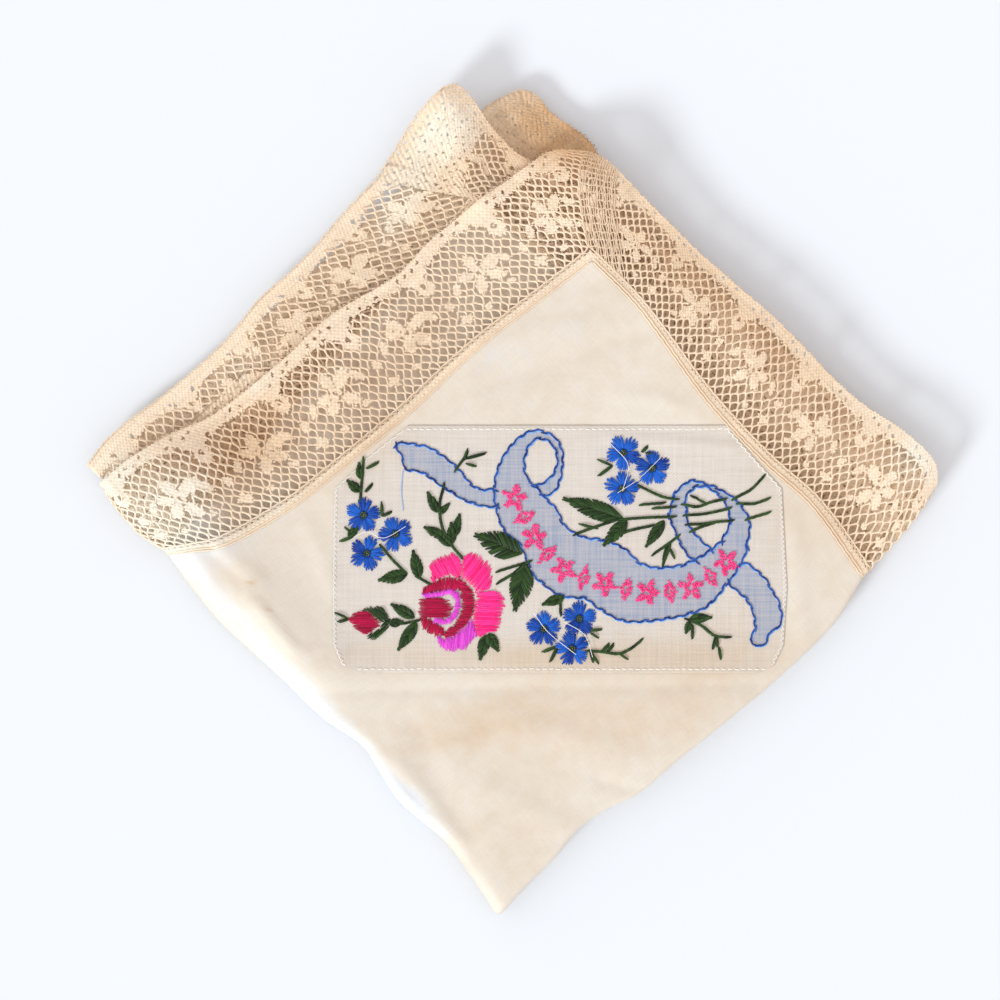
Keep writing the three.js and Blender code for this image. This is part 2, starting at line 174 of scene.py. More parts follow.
def layerPlan(layer):
    # Plan of one layer: a and b are 0 at the folds, 1 at the seams and 2 at the lace's edge
    curves = {name: curveThrough(points) for name, points in layer.items()}
    silkCorner = np.array(layer["seamLeft"][-1], dtype=float)
    leftOfCorner = np.array(layer["edgeLeft"][-1], dtype=float)
    rightOfCorner = np.array(layer["edgeRight"][-1], dtype=float)
    foldSilkLeft, foldSilkRight = curveThrough(secondFoldSilk), curveThrough(firstFoldSilk)
    foldLaceRight = curveThrough(firstFoldLace)

    def toLeft(share):
        return mix(silkCorner, leftOfCorner, share[..., None])

    def toRight(share):
        return mix(silkCorner, rightOfCorner, share[..., None])

    def at(a, b):
        inner = [np.minimum(a, 1.0), np.minimum(b, 1.0)]
        outer = [np.maximum(a - 1, 0.0), np.maximum(b - 1, 0.0)]
        silk = patch(foldSilkLeft, curves["seamRight"], foldSilkRight, curves["seamLeft"], *inner)
        left = patch(curves["seamLeft"], curves["edgeLeft"], curves["foldLace"], toLeft, inner[1], outer[0])
        right = patch(curves["seamRight"], curves["edgeRight"], foldLaceRight, toRight, inner[0], outer[1])
        corner = patch(toLeft, curves["cornerRight"], toRight, curves["cornerLeft"], *outer)
        isLeft, isRight = (a > 1)[..., None], (b > 1)[..., None]
        return np.where(isLeft & isRight, corner, np.where(isLeft, left, np.where(isRight, right, silk)))

    return at


panelPlan, secondPlan, thirdPlan, bottomPlan = [
    layerPlan(layer) for layer in (panelLayer, secondLayer, thirdLayer, bottomLayer)
]


def roundFold(distance, radius):
    # How far in from the crease a point lies, and how far round the fold it is
    quarter = math.pi / 2 * radius
    length = np.abs(distance)
    isFlat = length >= quarter
    angle = np.clip(distance / radius, -math.pi / 2, math.pi / 2)
    inward = np.where(isFlat, radius + length - quarter, radius * (1 - np.cos(angle)))
    return inward, np.where(isFlat, np.sign(distance), np.sin(angle))


def layerShare(distance, radius, offset):
    length = np.abs(distance)
    inward = offset + roundFold(distance, radius)[0]
    whole = offset + roundFold(silkHalf, radius)[0]
    return np.where(length > silkHalf, 1 + (length - silkHalf) / laceWidth, inward / whole)


def ridgesAt(x, y, table):
    total = np.zeros_like(x)
    for fromX, fromY, toX, toY, reach, height in table:
        runX, runY = toX - fromX, toY - fromY
        along = ((x - fromX) * runX + (y - fromY) * runY) / (runX ** 2 + runY ** 2)
        share = np.clip(along, 0, 1)
        away = np.hypot(x - fromX - runX * share, y - fromY - runY * share) / reach
        total += height * np.exp(-away ** 2)
    return total


def riseAt(x, y):
    total = ridgesAt(x, y, ridges)
    for atX, atY, reachX, reachY, height in rises:
        total += height * np.exp(-((x - atX) / reachX) ** 2 - ((y - atY) / reachY) ** 2)
    return total


def foldedPoint(p, q):
    # The middle of the cloth for a point (p, q) of the flat square
    turnP = roundFold(p, firstRadius)[1]
    secondRadius = cloth["layerStep"] + firstRadius * turnP
    turnQ = roundFold(q, secondRadius)[1]
    a = layerShare(p, firstRadius, 0)
    b = layerShare(q, secondRadius, outerRadius - secondRadius)
    isFront, isUpper = ((1 + turnP) / 2)[..., None], ((1 + turnQ) / 2)[..., None]
    upper = mix(secondPlan(a, b), panelPlan(a, b), isFront)
    lower = mix(thirdPlan(a, b), bottomPlan(a, b), isFront)
    plan = mix(lower, upper, isUpper)
    level = (outerRadius + secondRadius * turnQ) / (2 * outerRadius)
    x, y = plan[..., 0], plan[..., 1]
    stand = 2 * outerRadius + riseAt(x, y) + level ** 4 * ridgesAt(x, y, creases)
    return np.stack([x, y, cloth["thickness"] / 2 + level * stand], axis=-1)


def clothPoint(p, q, lift=0.0):
    # The same point on the thin cloth, with a further lift along the cloth's normal
    p, q = np.broadcast_arrays(np.asarray(p, float), np.asarray(q, float))
    reach = 0.05
    alongP = foldedPoint(p + reach, q) - foldedPoint(p - reach, q)
    alongQ = foldedPoint(p, q + reach) - foldedPoint(p, q - reach)
    normal = np.cross(alongQ, alongP)
    normal /= np.maximum(np.linalg.norm(normal, axis=-1, keepdims=True), 1e-12)
    lifts = np.asarray(cloth["lift"] + np.asarray(lift, float))[..., None]
    points = foldedPoint(p, q) + normal * lifts
    points[..., 2] = np.maximum(points[..., 2], cloth["lowest"])
    return points


def panelHeight(x, y):
    # Height of the top layer's silk under the panel
    top = cloth["thickness"] / 2 + 2 * outerRadius + cloth["lift"]
    return top + riseAt(x, y) + ridgesAt(x, y, creases)


# Tan of the cloth, partly real stains and partly painted shade where the cloth turns from the light, as in
# the valley at the left, on the lace's right strip and far corner, at the top and at the lower right: x, y,
# reach in x, reach in y, turn in degrees, strength of the tan
stainsAndShade = [
    (-5, -50, 22, 7, 12, 0.5), (28, -52, 20, 8, 20, 0.3), (-60, 12, 17, 9, 40, 0.65),
    (-62, -20, 12, 6, -50, 0.25), (70, -6, 16, 9, -50, 0.3), (40, 58, 34, 12, -42, 0.35),
    (-8, 84, 16, 10, 0, 0.15), (13, 85, 12, 10, 0, 1.0), (66, 30, 30, 12, -42, 0.25),
    (-30, 12, 20, 8, 42, 0.2), (46, 20, 18, 7, -46, 0.2), (-2, -78, 12, 12, 0, 0.2),
    (10, -35.5, 48, 4.0, 0, 0.6), (46, -38, 26, 14, 40, 0.2), (-12, -54, 11, 1.6, 14, 0.22),
    (-58.8, -18.7, 0.8, 0.6, 0, 0.9), (-55.0, -24.6, 0.7, 0.5, 0, 0.8), (10, 36, 26, 12, 0, 0.15),
    (-28, 30, 16, 8, 42, 0.3),
]
# Painted highlights: paler patches where the light falls full on the cloth, as on the roll of the second
# fold, a glare on the silk and the pleat at the top, in the same columns
paintedHighlights = [
    (-2, 33, 12, 6, 0, 0.35), (13, 38, 8, 5, 0, 0.3), (-47, -43.8, 42, 3.8, -48, 0.9),
    (-24.5, -67, 9, 1.7, -48, 0.9), (-21, -70, 8, 4, -60, 0.45), (-72, -8, 12, 6, -20, 0.8),
    (-78, 1, 15, 9, 30, 0.8), (-24, 70, 7, 18, -25, 0.8), (-12, 84, 10, 9, 0, 0.75),
    (-62, 30, 14, 7, 40, 0.6), (-90, 8, 9, 6, 50, 0.7), (91, 9, 9, 9, 0, 0.7), (-55, -2, 9, 5, 40, 0.4),
]


def blotAt(x, y, table):
    total = np.zeros_like(x)
    for atX, atY, reachX, reachY, turn, strength in table:
        c, s = math.cos(math.radians(turn)), math.sin(math.radians(turn))
        along, across = (x - atX) * c + (y - atY) * s, (y - atY) * c - (x - atX) * s
        total += strength * np.exp(-(along / reachX) ** 2 - (across / reachY) ** 2)
    return np.clip(total, 0, 1)


def newMesh(name, points, faces=(), edges=(), **attributes):
    mesh = bpy.data.meshes.new(name)
    points = np.asarray(points, float).reshape(-1, 3)
    mesh.from_pydata((points * mm).tolist(), [list(e) for e in edges], [list(f) for f in faces])
    for key, values in attributes.items():
        layer = mesh.attributes.new(key, "FLOAT", "POINT")
        layer.data.foreach_set("value", np.asarray(values, dtype=np.float32).ravel())
    mesh.update()
    piece = bpy.data.objects.new(name, mesh)
    bpy.context.scene.collection.objects.link(piece)
    return piece


def smooth(piece):
    piece.data.polygons.foreach_set("use_smooth", np.ones(len(piece.data.polygons), dtype=bool))
    return piece


def setMap(piece, u, v):
    # A UV map in metres of flat cloth, so that a weave keeps its real size
    layer = piece.data.uv_layers.new(name="flatCloth")
    corners = np.empty(len(piece.data.loops), dtype=np.int32)
    piece.data.loops.foreach_get("vertex_index", corners)
    flat = np.stack([np.ravel(u)[corners], np.ravel(v)[corners]], axis=-1) * mm
    layer.data.foreach_set("uv", flat.astype(np.float32).ravel())


def gridFaces(rows, columns):
    # Quads of a grid whose vertices run row by row
    i, j = np.meshgrid(np.arange(rows - 1), np.arange(columns - 1), indexing="ij")
    a, b = i * columns + j, i * columns + j + 1
    return np.stack([a, b, b + columns, a + columns], axis=-1).reshape(-1, 4)


def joined(name, parts):
    # Makes one piece of several, each part keeping its own material
    first = parts[0]
    with bpy.context.temp_override(active_object=first, selected_editable_objects=parts):
        bpy.ops.object.join()
    first.name = name
    return first


def dress(piece, material, node):
    piece.data.materials.clear()
    piece.data.materials.append(material)
    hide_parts(node)
    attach(piece, "root")


def addNode(tree, kind, inputs=None, **settings):
    # A node with its settings, and its inputs as values or as sockets to link from
    made = tree.nodes.new(kind)
    for key, value in settings.items():
        setattr(made, key, value)
    for key, value in (inputs or {}).items():
        if isinstance(value, bpy.types.NodeSocket):
            tree.links.new(value, made.inputs[key])
        else:
            made.inputs[key].default_value = value
    return made


def calc(tree, operation, *values, clamp=False):
    inputs = dict(enumerate(values))
    return addNode(tree, "ShaderNodeMath", inputs, operation=operation, use_clamp=clamp).outputs[0]


def calcVector(tree, operation, vector, other):
    inputs = {0: vector, ("Scale" if operation == "SCALE" else 1): other}
    return addNode(tree, "ShaderNodeVectorMath", inputs, operation=operation).outputs[0]


def noise(tree, place, scale, detail, output="Fac"):
    inputs = {"Vector": place, "Scale": scale, "Detail": detail}
    return addNode(tree, "ShaderNodeTexNoise", inputs).outputs[output]


def remap(tree, value, start, end, low=0.0, high=1.0, clamp=True):
    inputs = {"Value": value, "From Min": start, "From Max": end, "To Min": low, "To Max": high}
    return addNode(tree, "ShaderNodeMapRange", inputs, clamp=clamp).outputs[0]


def mixColours(tree, share, one, other, blend="MIX"):
    inputs = {0: share, 6: one, 7: other}
    return addNode(tree, "ShaderNodeMix", inputs, data_type="RGBA", blend_type=blend).outputs[2]


def attributeOf(tree, name):
    return addNode(tree, "ShaderNodeAttribute", attribute_name=name).outputs["Fac"]


def roughen(tree, height, strength, distance, **under):
    # A bump, on top of the one that its Normal comes from where that is given
    inputs = {"Height": height, "Strength": strength, "Distance": distance, **under}
    return addNode(tree, "ShaderNodeBump", inputs).outputs["Normal"]


def newTree(name, kind, inputs, outputs):
    # A node group with named sockets, each given with its type
    tree = bpy.data.node_groups.new(name, kind)
    for way, sockets in (("INPUT", inputs), ("OUTPUT", outputs)):
        for label, socket in sockets.items():
            tree.interface.new_socket(label, in_out=way, socket_type=f"NodeSocket{socket}")
    start, end = tree.nodes.new("NodeGroupInput"), tree.nodes.new("NodeGroupOutput")
    return tree, start.outputs, end.inputs


def addTube(tree, curve, sides, radius, caps=False):
    ring = addNode(tree, "GeometryNodeCurvePrimitiveCircle", {"Resolution": sides, "Radius": 1.0})
    inputs = {"Curve": curve, "Profile Curve": ring.outputs["Curve"], "Scale": radius, "Fill Caps": caps}
    return addNode(tree, "GeometryNodeCurveToMesh", inputs).outputs["Mesh"]


def giveOut(tree, geometry, material, result):
    # The tree's result, as real geometry of one material
    plain = addNode(tree, "GeometryNodeRealizeInstances", {"Geometry": geometry})
    inputs = {"Geometry": plain.outputs["Geometry"], "Material": material}
    finished = addNode(tree, "GeometryNodeSetMaterial", inputs)
    tree.links.new(finished.outputs["Geometry"], result)


def threadTree():
    # Tubes along loose edges: each line of edges becomes one thread, as thick as its girth says
    tree, given, result = newTree(
        "threadsAlongLines", "GeometryNodeTree",
        {"Lines": "Geometry", "Thread Width": "Float", "Thread Sides": "Int",
         "Thread Material": "Material"},
        {"Threads": "Geometry"},
    )
    curve = addNode(tree, "GeometryNodeMeshToCurve", {"Mesh": given["Lines"]})
    girth = addNode(tree, "GeometryNodeInputNamedAttribute", {"Name": "girth"}, data_type="FLOAT")
    half = calc(tree, "MULTIPLY", given["Thread Width"], 0.5)
    radius = calc(tree, "MULTIPLY", half, girth.outputs["Attribute"])
    tube = addTube(tree, curve.outputs["Curve"], given["Thread Sides"], radius)
    giveOut(tree, tube, given["Thread Material"], result["Threads"])
    return tree


# One stitch: the points along it, its sides, and its radius at its ends and middle by its width
stitchShape = {"points": 5, "sides": 5, "endRadius": 0.22, "middleRadius": 0.5}


def stitchTree():
    # Short overlapping stitches along each line, aslant to it, with a shade of their own
    tree, given, result = newTree(
        "stitchesAlongLines", "GeometryNodeTree",
        {"Lines": "Geometry", "Stitch Spacing": "Float", "Stitch Length": "Float",
         "Stitch Width": "Float", "Slant": "Float", "Seed": "Int", "Stitch Material": "Material"},
        {"Stitches": "Geometry"},
    )
    curve = addNode(tree, "GeometryNodeMeshToCurve", {"Mesh": given["Lines"]})
    even = addNode(
        tree, "GeometryNodeResampleCurve",
        {"Curve": curve.outputs["Curve"], "Length": given["Stitch Spacing"]}, mode="LENGTH",
    )
    shade = addNode(tree, "FunctionNodeRandomValue", {"Seed": given["Seed"]}, data_type="FLOAT")
    shaded = addNode(
        tree, "GeometryNodeStoreNamedAttribute",
        {"Geometry": even.outputs["Curve"], "Name": "shade", "Value": shade.outputs[1]},
        data_type="FLOAT", domain="POINT",
    )
    tangent = addNode(tree, "GeometryNodeInputTangent")
    turned = addNode(
        tree, "ShaderNodeVectorRotate",
        {"Vector": tangent.outputs["Tangent"], "Axis": (0, 0, 1), "Angle": given["Slant"]},
        rotation_type="AXIS_ANGLE",
    )
    facing = addNode(
        tree, "FunctionNodeAlignRotationToVector", {"Vector": turned.outputs["Vector"]}, axis="Z"
    )
    ends = {}
    for label, half in (("Start", -0.5), ("End", 0.5)):
        reach = calc(tree, "MULTIPLY", given["Stitch Length"], half)
        ends[label] = addNode(tree, "ShaderNodeCombineXYZ", {"Z": reach}).outputs[0]
    line = addNode(tree, "GeometryNodeCurvePrimitiveLine", ends)
    inputs = {"Curve": line.outputs["Curve"], "Count": stitchShape["points"]}
    bent = addNode(tree, "GeometryNodeResampleCurve", inputs)
    along = addNode(tree, "GeometryNodeSplineParameter")
    belly = calc(tree, "SINE", calc(tree, "MULTIPLY", along.outputs["Factor"], math.pi))
    full = remap(tree, belly, 0.0, 1.0, stitchShape["endRadius"], stitchShape["middleRadius"])
    radius = calc(tree, "MULTIPLY", full, given["Stitch Width"])
    tube = addTube(tree, bent.outputs["Curve"], stitchShape["sides"], radius, caps=True)
    placed = addNode(
        tree, "GeometryNodeInstanceOnPoints",
        {"Points": shaded.outputs["Geometry"], "Instance": tube, "Rotation": facing.outputs["Rotation"]},
    )
    giveOut(tree, placed.outputs["Instances"], given["Stitch Material"], result["Stitches"])
    return tree


def grow(piece, tree, **values):
    # Runs a geometry nodes tree on a piece and keeps its result as a plain mesh
    modifier = piece.modifiers.new(tree.name, "NODES")
    modifier.node_group = tree
    sockets = {item.name: item.identifier for item in tree.interface.items_tree if item.in_out == "INPUT"}
    for label, value in values.items():
        modifier[sockets[label]] = value
    bpy.context.view_layer.update()
    mesh = bpy.data.meshes.new_from_object(piece.evaluated_get(bpy.context.evaluated_depsgraph_get()))
    piece.modifiers.remove(modifier)
    piece.data = mesh
    return smooth(piece)


threadsAlongLines = threadTree()
stitchesAlongLines = stitchTree()


def lineMesh(name, lines, girths, shades=None):
    # Loose edges for lists of points; girths is one profile for all lines
    points, edges, girth, shade = [], [], [], []
    for number, line in enumerate(lines):
        first = len(points)
        points.extend(line)
        edges.extend((first + i, first + i + 1) for i in range(len(line) - 1))
        girth.extend(np.broadcast_to(girths, len(line)))
        shade.extend([0.5 if shades is None else shades[number]] * len(line))
    return newMesh(name, points, edges=edges, girth=girth, shade=shade)


def threads(name, lines, girths, width, material, sides=4, shades=None):
    piece = lineMesh(name, lines, girths, shades)
    return grow(piece, threadsAlongLines, **{
        "Thread Width": width * mm, "Thread Sides": sides, "Thread Material": material,
    })


def stitches(name, lines, sizes, material, seed):
    piece = lineMesh(name, lines, 1.0)
    return grow(piece, stitchesAlongLines, **{
        "Stitch Spacing": sizes["spacing"] * mm, "Stitch Length": sizes["length"] * mm,
        "Stitch Width": sizes["width"] * mm, "Slant": sizes["slant"], "Seed": seed,
        "Stitch Material": material,
    })


# Noises of the cloth, as scale and detail, and how far a streak is drawn out along its thread
grain = {
    "drift": (0.11, 2.0), "streak": (0.8, 3.0), "drawn": 0.03, "blotch": (55.0, 5.0),
    "cloud": (260.0, 3.0), "fold": (90.0, 4.0), "twist": (4000.0, 2.0),
}
# Depth of each bump in metres
bumpDepth = {"fold": 0.002, "weave": 0.00012, "thread": 0.0001}
# Limits of what is read from them: the mottle's spread, the share of painted highlight, streaks and a
# thread's shades
readAs = {
    "mottle": (0.75, 1.3, -0.5, 0.5), "highlightShare": (0.2, 0.85), "streak": (0.35, 0.65), "behind": (0.38, 0.62),
    "shade": (0.4, 1.5),
}
# How far the mottle spreads the painted highlight
highlightByMottle = 0.45


def weaveGroup():
    # Plain weave on a map in metres, with uneven threads: its height and its thin places
    tree, given, result = newTree(
        "plainWeave", "ShaderNodeTree",
        {"Map": "Vector", "Threads per Metre": "Float", "Unevenness": "Float"},
        {"Height": "Float", "Streaks": "Float"},
    )
    scaled = calcVector(tree, "SCALE", given["Map"], given["Threads per Metre"])
    drift = noise(tree, scaled, *grain["drift"], "Color")
    wander = calcVector(tree, "SCALE", drift, given["Unevenness"])
    moved = addNode(tree, "ShaderNodeSeparateXYZ", {0: calcVector(tree, "ADD", scaled, wander)})
    waves, streaks = [], []
    for axis, stretch in (("X", (1.0, grain["drawn"], 1.0)), ("Y", (grain["drawn"], 1.0, 1.0))):
        waves.append(calc(tree, "SINE", calc(tree, "MULTIPLY", moved.outputs[axis], math.pi)))
        drawn = calcVector(tree, "MULTIPLY", scaled, stretch)
        streaks.append(noise(tree, drawn, *grain["streak"]))
    uneven = calc(tree, "ADD", *streaks)
    height = calc(tree, "MULTIPLY_ADD", calc(tree, "MULTIPLY", *waves), 0.5, 0.5)
    tree.links.new(calc(tree, "ADD", height, uneven), result["Height"])
    tree.links.new(calc(tree, "MULTIPLY", uneven, 0.5), result["Streaks"])
    return tree


def stainsAndLightGroup():
    # Fresh, tan and pale cloth mixed by a soft mottle and two attributes: the tan of real stains and painted
    # shade, and the pale of painted highlights
    tree, given, result = newTree(
        "stainsAndLightTint", "ShaderNodeTree",
        {"Place": "Vector", "Fresh": "Color", "Tan": "Color", "Pale": "Color", "Mottle": "Float"},
        {"Colour": "Color"},
    )
    blotch, cloud = [noise(tree, given["Place"], *grain[key]) for key in ("blotch", "cloud")]
    spread = remap(tree, calc(tree, "ADD", blotch, cloud), *readAs["mottle"], clamp=False)
    # tan share: real stains and painted shade, spread by the mottle
    mottle = calc(tree, "MULTIPLY_ADD", spread, given["Mottle"], attributeOf(tree, "tanStainAndShade"), clamp=True)
    tanned = mixColours(tree, mottle, given["Fresh"], given["Tan"])
    # pale share: painted highlights, spread by the mottle
    brightened = calc(tree, "MULTIPLY_ADD", spread, highlightByMottle, attributeOf(tree, "pale"))
    highlightShare = remap(tree, brightened, *readAs["highlightShare"])
    tree.links.new(mixColours(tree, highlightShare, tanned, given["Pale"]), result["Colour"])
    return tree


plainWeave = weaveGroup()
stainsAndLightTint = stainsAndLightGroup()


def newMaterial(name, look):
    material = bpy.data.materials.new(name)
    material.use_nodes = True
    shader = material.node_tree.nodes["Principled BSDF"]
    shader.inputs["Roughness"].default_value = look["roughness"]
    shader.inputs["Specular IOR Level"].default_value = look["specular"]
    shader.inputs["Sheen Weight"].default_value = look["sheen"]
    shader.inputs["Sheen Roughness"].default_value = 0.5
    return material, material.node_tree, shader


def letThrough(material, share, colour):
    # Thin cloth passes some of the light that falls on its other side
    tree = material.node_tree
    shader, output = tree.nodes["Principled BSDF"], tree.nodes["Material Output"]
    glow = addNode(tree, "ShaderNodeBsdfTranslucent", {"Color": colour})
    blend = addNode(tree, "ShaderNodeMixShader", {0: share, 1: shader.outputs[0], 2: glow.outputs[0]})
    tree.links.new(blend.outputs[0], output.inputs["Surface"])


def rgb(red, green, blue):
    # A colour as it looks on screen, from 0 to 255, as Blender's linear values
    shares = [channel / 255 for channel in (red, green, blue)]
    return [c / 12.92 if c <= 0.04045 else ((c + 0.055) / 1.055) ** 2.4 for c in shares] + [1.0]


def stainsAndLightColour(tree, place, look):
    inputs = {"Place": place, "Mottle": look["mottle"]}
    inputs.update({key.title(): look[key] for key in ("fresh", "tan", "pale")})
    return addNode(tree, "ShaderNodeGroup", inputs, node_tree=stainsAndLightTint).outputs["Colour"]


def clothMaterial(name, look):
    material, tree, shader = newMaterial(name, look)
    place = addNode(tree, "ShaderNodeTexCoord").outputs
    weave = addNode(
        tree, "ShaderNodeGroup",
        {"Map": place["UV"], "Threads per Metre": look["threadsPerMetre"],
         "Unevenness": look["unevenness"]},
        node_tree=plainWeave,
    ).outputs
    low, high = 1 - look["streak"], 1 + look["streak"] * 0.4
    streak = remap(tree, weave["Streaks"], *readAs["streak"], low, high)
    colour = mixColours(tree, 1.0, stainsAndLightColour(tree, place["Object"], look), streak, "MULTIPLY")
    if "shadow" in look:  # threads on the back show through as a tint
        full = look["shadowShare"]
        uneven = remap(tree, weave["Streaks"], *readAs["behind"], full * 0.55, full * 1.25)
        share = calc(tree, "MULTIPLY", attributeOf(tree, "shadowWork"), uneven)
        colour = mixColours(tree, share, colour, look["shadow"])
    tree.links.new(colour, shader.inputs["Base Color"])
    fold = noise(tree, place["Object"], *grain["fold"])
    soft = roughen(tree, fold, look["crumple"], bumpDepth["fold"])
    fine = roughen(tree, weave["Height"], look["bump"], bumpDepth["weave"], Normal=soft)
    tree.links.new(fine, shader.inputs["Normal"])
    letThrough(material, look["sheer"], colour)
    return material


# In each look, tan colours real stains and painted shade, and pale colours painted highlights
silkLook = {
    "fresh": rgb(234, 224, 210), "tan": rgb(220, 192, 160), "pale": rgb(235, 236, 238),
    "roughness": 0.5, "sheen": 0.25, "specular": 0.35, "threadsPerMetre": 5200, "unevenness": 1.5,
    "streak": 0.05, "mottle": 0.35, "crumple": 0.2, "bump": 0.25, "sheer": 0.22,
}
organdieLook = {
    "fresh": rgb(230, 221, 212), "tan": rgb(222, 198, 168), "pale": rgb(241, 236, 238),
    "roughness": 0.75, "sheen": 0.15, "specular": 0.25, "threadsPerMetre": 2700, "unevenness": 1.2,
    "streak": 0.1, "mottle": 0.25, "crumple": 0.08, "bump": 0.4, "sheer": 0.25,
    "shadow": rgb(160, 170, 194), "shadowShare": 0.78,
}
laceLook = {
    "fresh": rgb(252, 232, 206), "tan": rgb(222, 180, 136), "pale": rgb(255, 245, 228),
    "roughness": 0.8, "sheen": 0.2, "specular": 0.2, "threadsPerMetre": 1900, "unevenness": 1.0,
    "streak": 0.18, "mottle": 0.25, "crumple": 0.0, "bump": 0.9, "sheer": 0.24, "twist": 0.35,
}
silkCloth = clothMaterial("agedSilk", silkLook)
organdieCloth = clothMaterial("organdie", organdieLook)
laceCloth = clothMaterial("laceClothwork", laceLook)


def threadMaterial(name, look):
    # Cotton or silk thread: two shades mixed by each stitch's own shade and a fine noise
    material, tree, shader = newMaterial(name, look)
    place = addNode(tree, "ShaderNodeTexCoord").outputs["Object"]
    speck = noise(tree, place, look["grain"], 2.0)
    share = remap(tree, calc(tree, "ADD", attributeOf(tree, "shade"), speck), *readAs["shade"])
    tree.links.new(mixColours(tree, share, look["dark"], look["light"]), shader.inputs["Base Color"])
    tree.links.new(roughen(tree, speck, look["bump"], bumpDepth["thread"]), shader.inputs["Normal"])
    return material


def netMaterial():
    # The net's cotton thread, with the clothwork's stains, painted shade and painted highlights
    material, tree, shader = newMaterial("laceThread", laceLook)
    place = addNode(tree, "ShaderNodeTexCoord").outputs["Object"]
    colour = stainsAndLightColour(tree, place, laceLook)
    tree.links.new(colour, shader.inputs["Base Color"])
    twist = noise(tree, place, *grain["twist"])
    tree.links.new(roughen(tree, twist, laceLook["twist"], bumpDepth["thread"]), shader.inputs["Normal"])
    letThrough(material, laceLook["sheer"], colour)
    return material


laceThread = netMaterial()


def paintStainsShadeAndHighlights(piece, shadeBelow=0.0):
    # Tan and paleness of every vertex from where it lies: real stains with painted shade, and painted
    # highlights; the layers below the top get painted shade, tanner and less pale
    points = np.empty(len(piece.data.vertices) * 3, dtype=np.float32)
    piece.data.vertices.foreach_get("co", points)
    x, y, z = points.reshape(-1, 3).T / mm
    for key, table in (("tanStainAndShade", stainsAndShade), ("pale", paintedHighlights)):
        layer = piece.data.attributes.new(key, "FLOAT", "POINT")
        shadeHere = shadeBelow * np.clip((panelHeight(x, y) - z) / cloth["layerStep"] - 0.5, 0, 1)
        value = blotAt(x, y, table) + (shadeHere if key == "tanStainAndShade" else -shadeHere)
        layer.data.foreach_set("value", np.clip(value, 0, 1).astype(np.float32))
    return piece


# The silk ground: one thin sheet through all four layers, finest on the one that shows
silk = {
    # the share of painted shade on the layers below the top is set among these
    "fineStep": 1.0, "coarseStep": 2.6, "thickness": 0.12, "paintedShadeBelow": 0.2,
    "foldLines": [0.4, 0.8, 1.2, 1.6, 2.4, 3.2, 4.2],
}


def silkLines():
    last = silk["foldLines"][-1]
    coarse, fine = [
        np.linspace(last, silkHalf, int((silkHalf - last) / silk[step]))[1:]
        for step in ("coarseStep", "fineStep")
    ]
    folds = np.array(silk["foldLines"])
    return np.concatenate([-coarse[::-1], -folds[::-1], [0.0], folds, fine])


def thicken(piece, thickness):
    made = piece.modifiers.new("thickness", "SOLIDIFY")
    made.thickness = thickness * mm
    made.offset = 0.0


def makeSilk():
    p, q = np.meshgrid(silkLines(), silkLines(), indexing="ij")
    piece = newMesh("silk_cloth", clothPoint(p, q), gridFaces(*p.shape)[:, ::-1])
    setMap(piece, p, q)
    paintStainsShadeAndHighlights(smooth(piece), silk["paintedShadeBelow"])
    thicken(piece, silk["thickness"])
    dress(piece, silkCloth, "silk_ground")
    return piece


silkPiece = makeSilk()
print("silk made")

# The lace: net, clothwork, header and picots, on four strips that meet in mitres
lace = {
    "header": 2.0, "tape": 1.3, "threadWidth": 0.49, "jitter": 0.14, "bar": 0.17, "cell": 0.34,
    "ridge": 0.03, "waveLength": 1.3, "picotPitch": 1.0, "picotReach": 1.0,
    # the share of painted shade on the lace of the layers below the top is set among these
    "ragged": 0.22, "paintedShadeBelow": 0.2, "hangFrom": 13, "hangOver": 10, "mitre": 4,
    "headerWidth": 0.36, "picotWidth": 0.34, "foldWidth": 0.36, "zigzag": 0.7, "headerStep": 1.3,
    "weavePitch": 1.3, "coverLift": 0.1, "cellJitter": 0.16, "liftJitter": 0.015, "bow": 0.04,
    "rimInset": 0.4, "picotInset": 0.45, "foldPoints": 26, "headerRows": (-0.5, 0.1),
    "headerSway": 0.08, "headerLift": 0.16, "foldLift": 0.2, "picotLift": 0.04, "overlap": 0.4,
    "clothworkInset": 0.2, "netGirth": (1.4, 0.9, 0.9, 1.4), "netShares": (0, 0.35, 0.65, 1),
}
# Waves that make the clothwork's rims ragged: rate, depth of its sway and the sway's rate
ragWaves = ((5.1, 3.0, 2.3), (6.3, 2.0, 3.7))
# The border is narrowest under the crown of each arch; between two arches a lobe hangs from it
border = {
    "narrow": 2.9, "wide": 3.2, "power": 3.0, "lobeDepth": 6.7, "lobeLength": 2.2, "lobeWidth": 1.8,
    "lobeRough": 0.4,
}
# Holes in it, as half length, half width and turn in degrees: an eye in each lobe, a slit by each
# lobe and a row of pinholes, of which a share is left out
holes = {
    "eye": (0.75, 0.55, 0), "eyeRise": 0.5, "slit": (0.4, 0.9, 50), "slitDepth": 3.5, "slitAway": 3.4,
    "pin": (0.3, 0.5, 40), "pinDepth": 1.6, "pinSway": 0.6, "pinSwayRate": 2.9, "pinsInRepeat": 10,
    "pinRate": 7.3, "pinLimit": 0.35, "fullest": 1.2,
}
# One flower stands under each arch: its petals as angle, distance, half length and half width
flowerAt = {"share": 0.5, "v": 12.4, "hole": 0.45, "ring": 1.15, "rough": 0.5, "turn": 14, "turnRate": 2.4}
flowerPetals = [
    (95, 2.9, 1.9, 1.25), (160, 2.8, 1.7, 1.15), (232, 2.9, 1.9, 1.2), (300, 3.3, 2.1, 1.3),
    (15, 3.4, 2.4, 1.35),
]
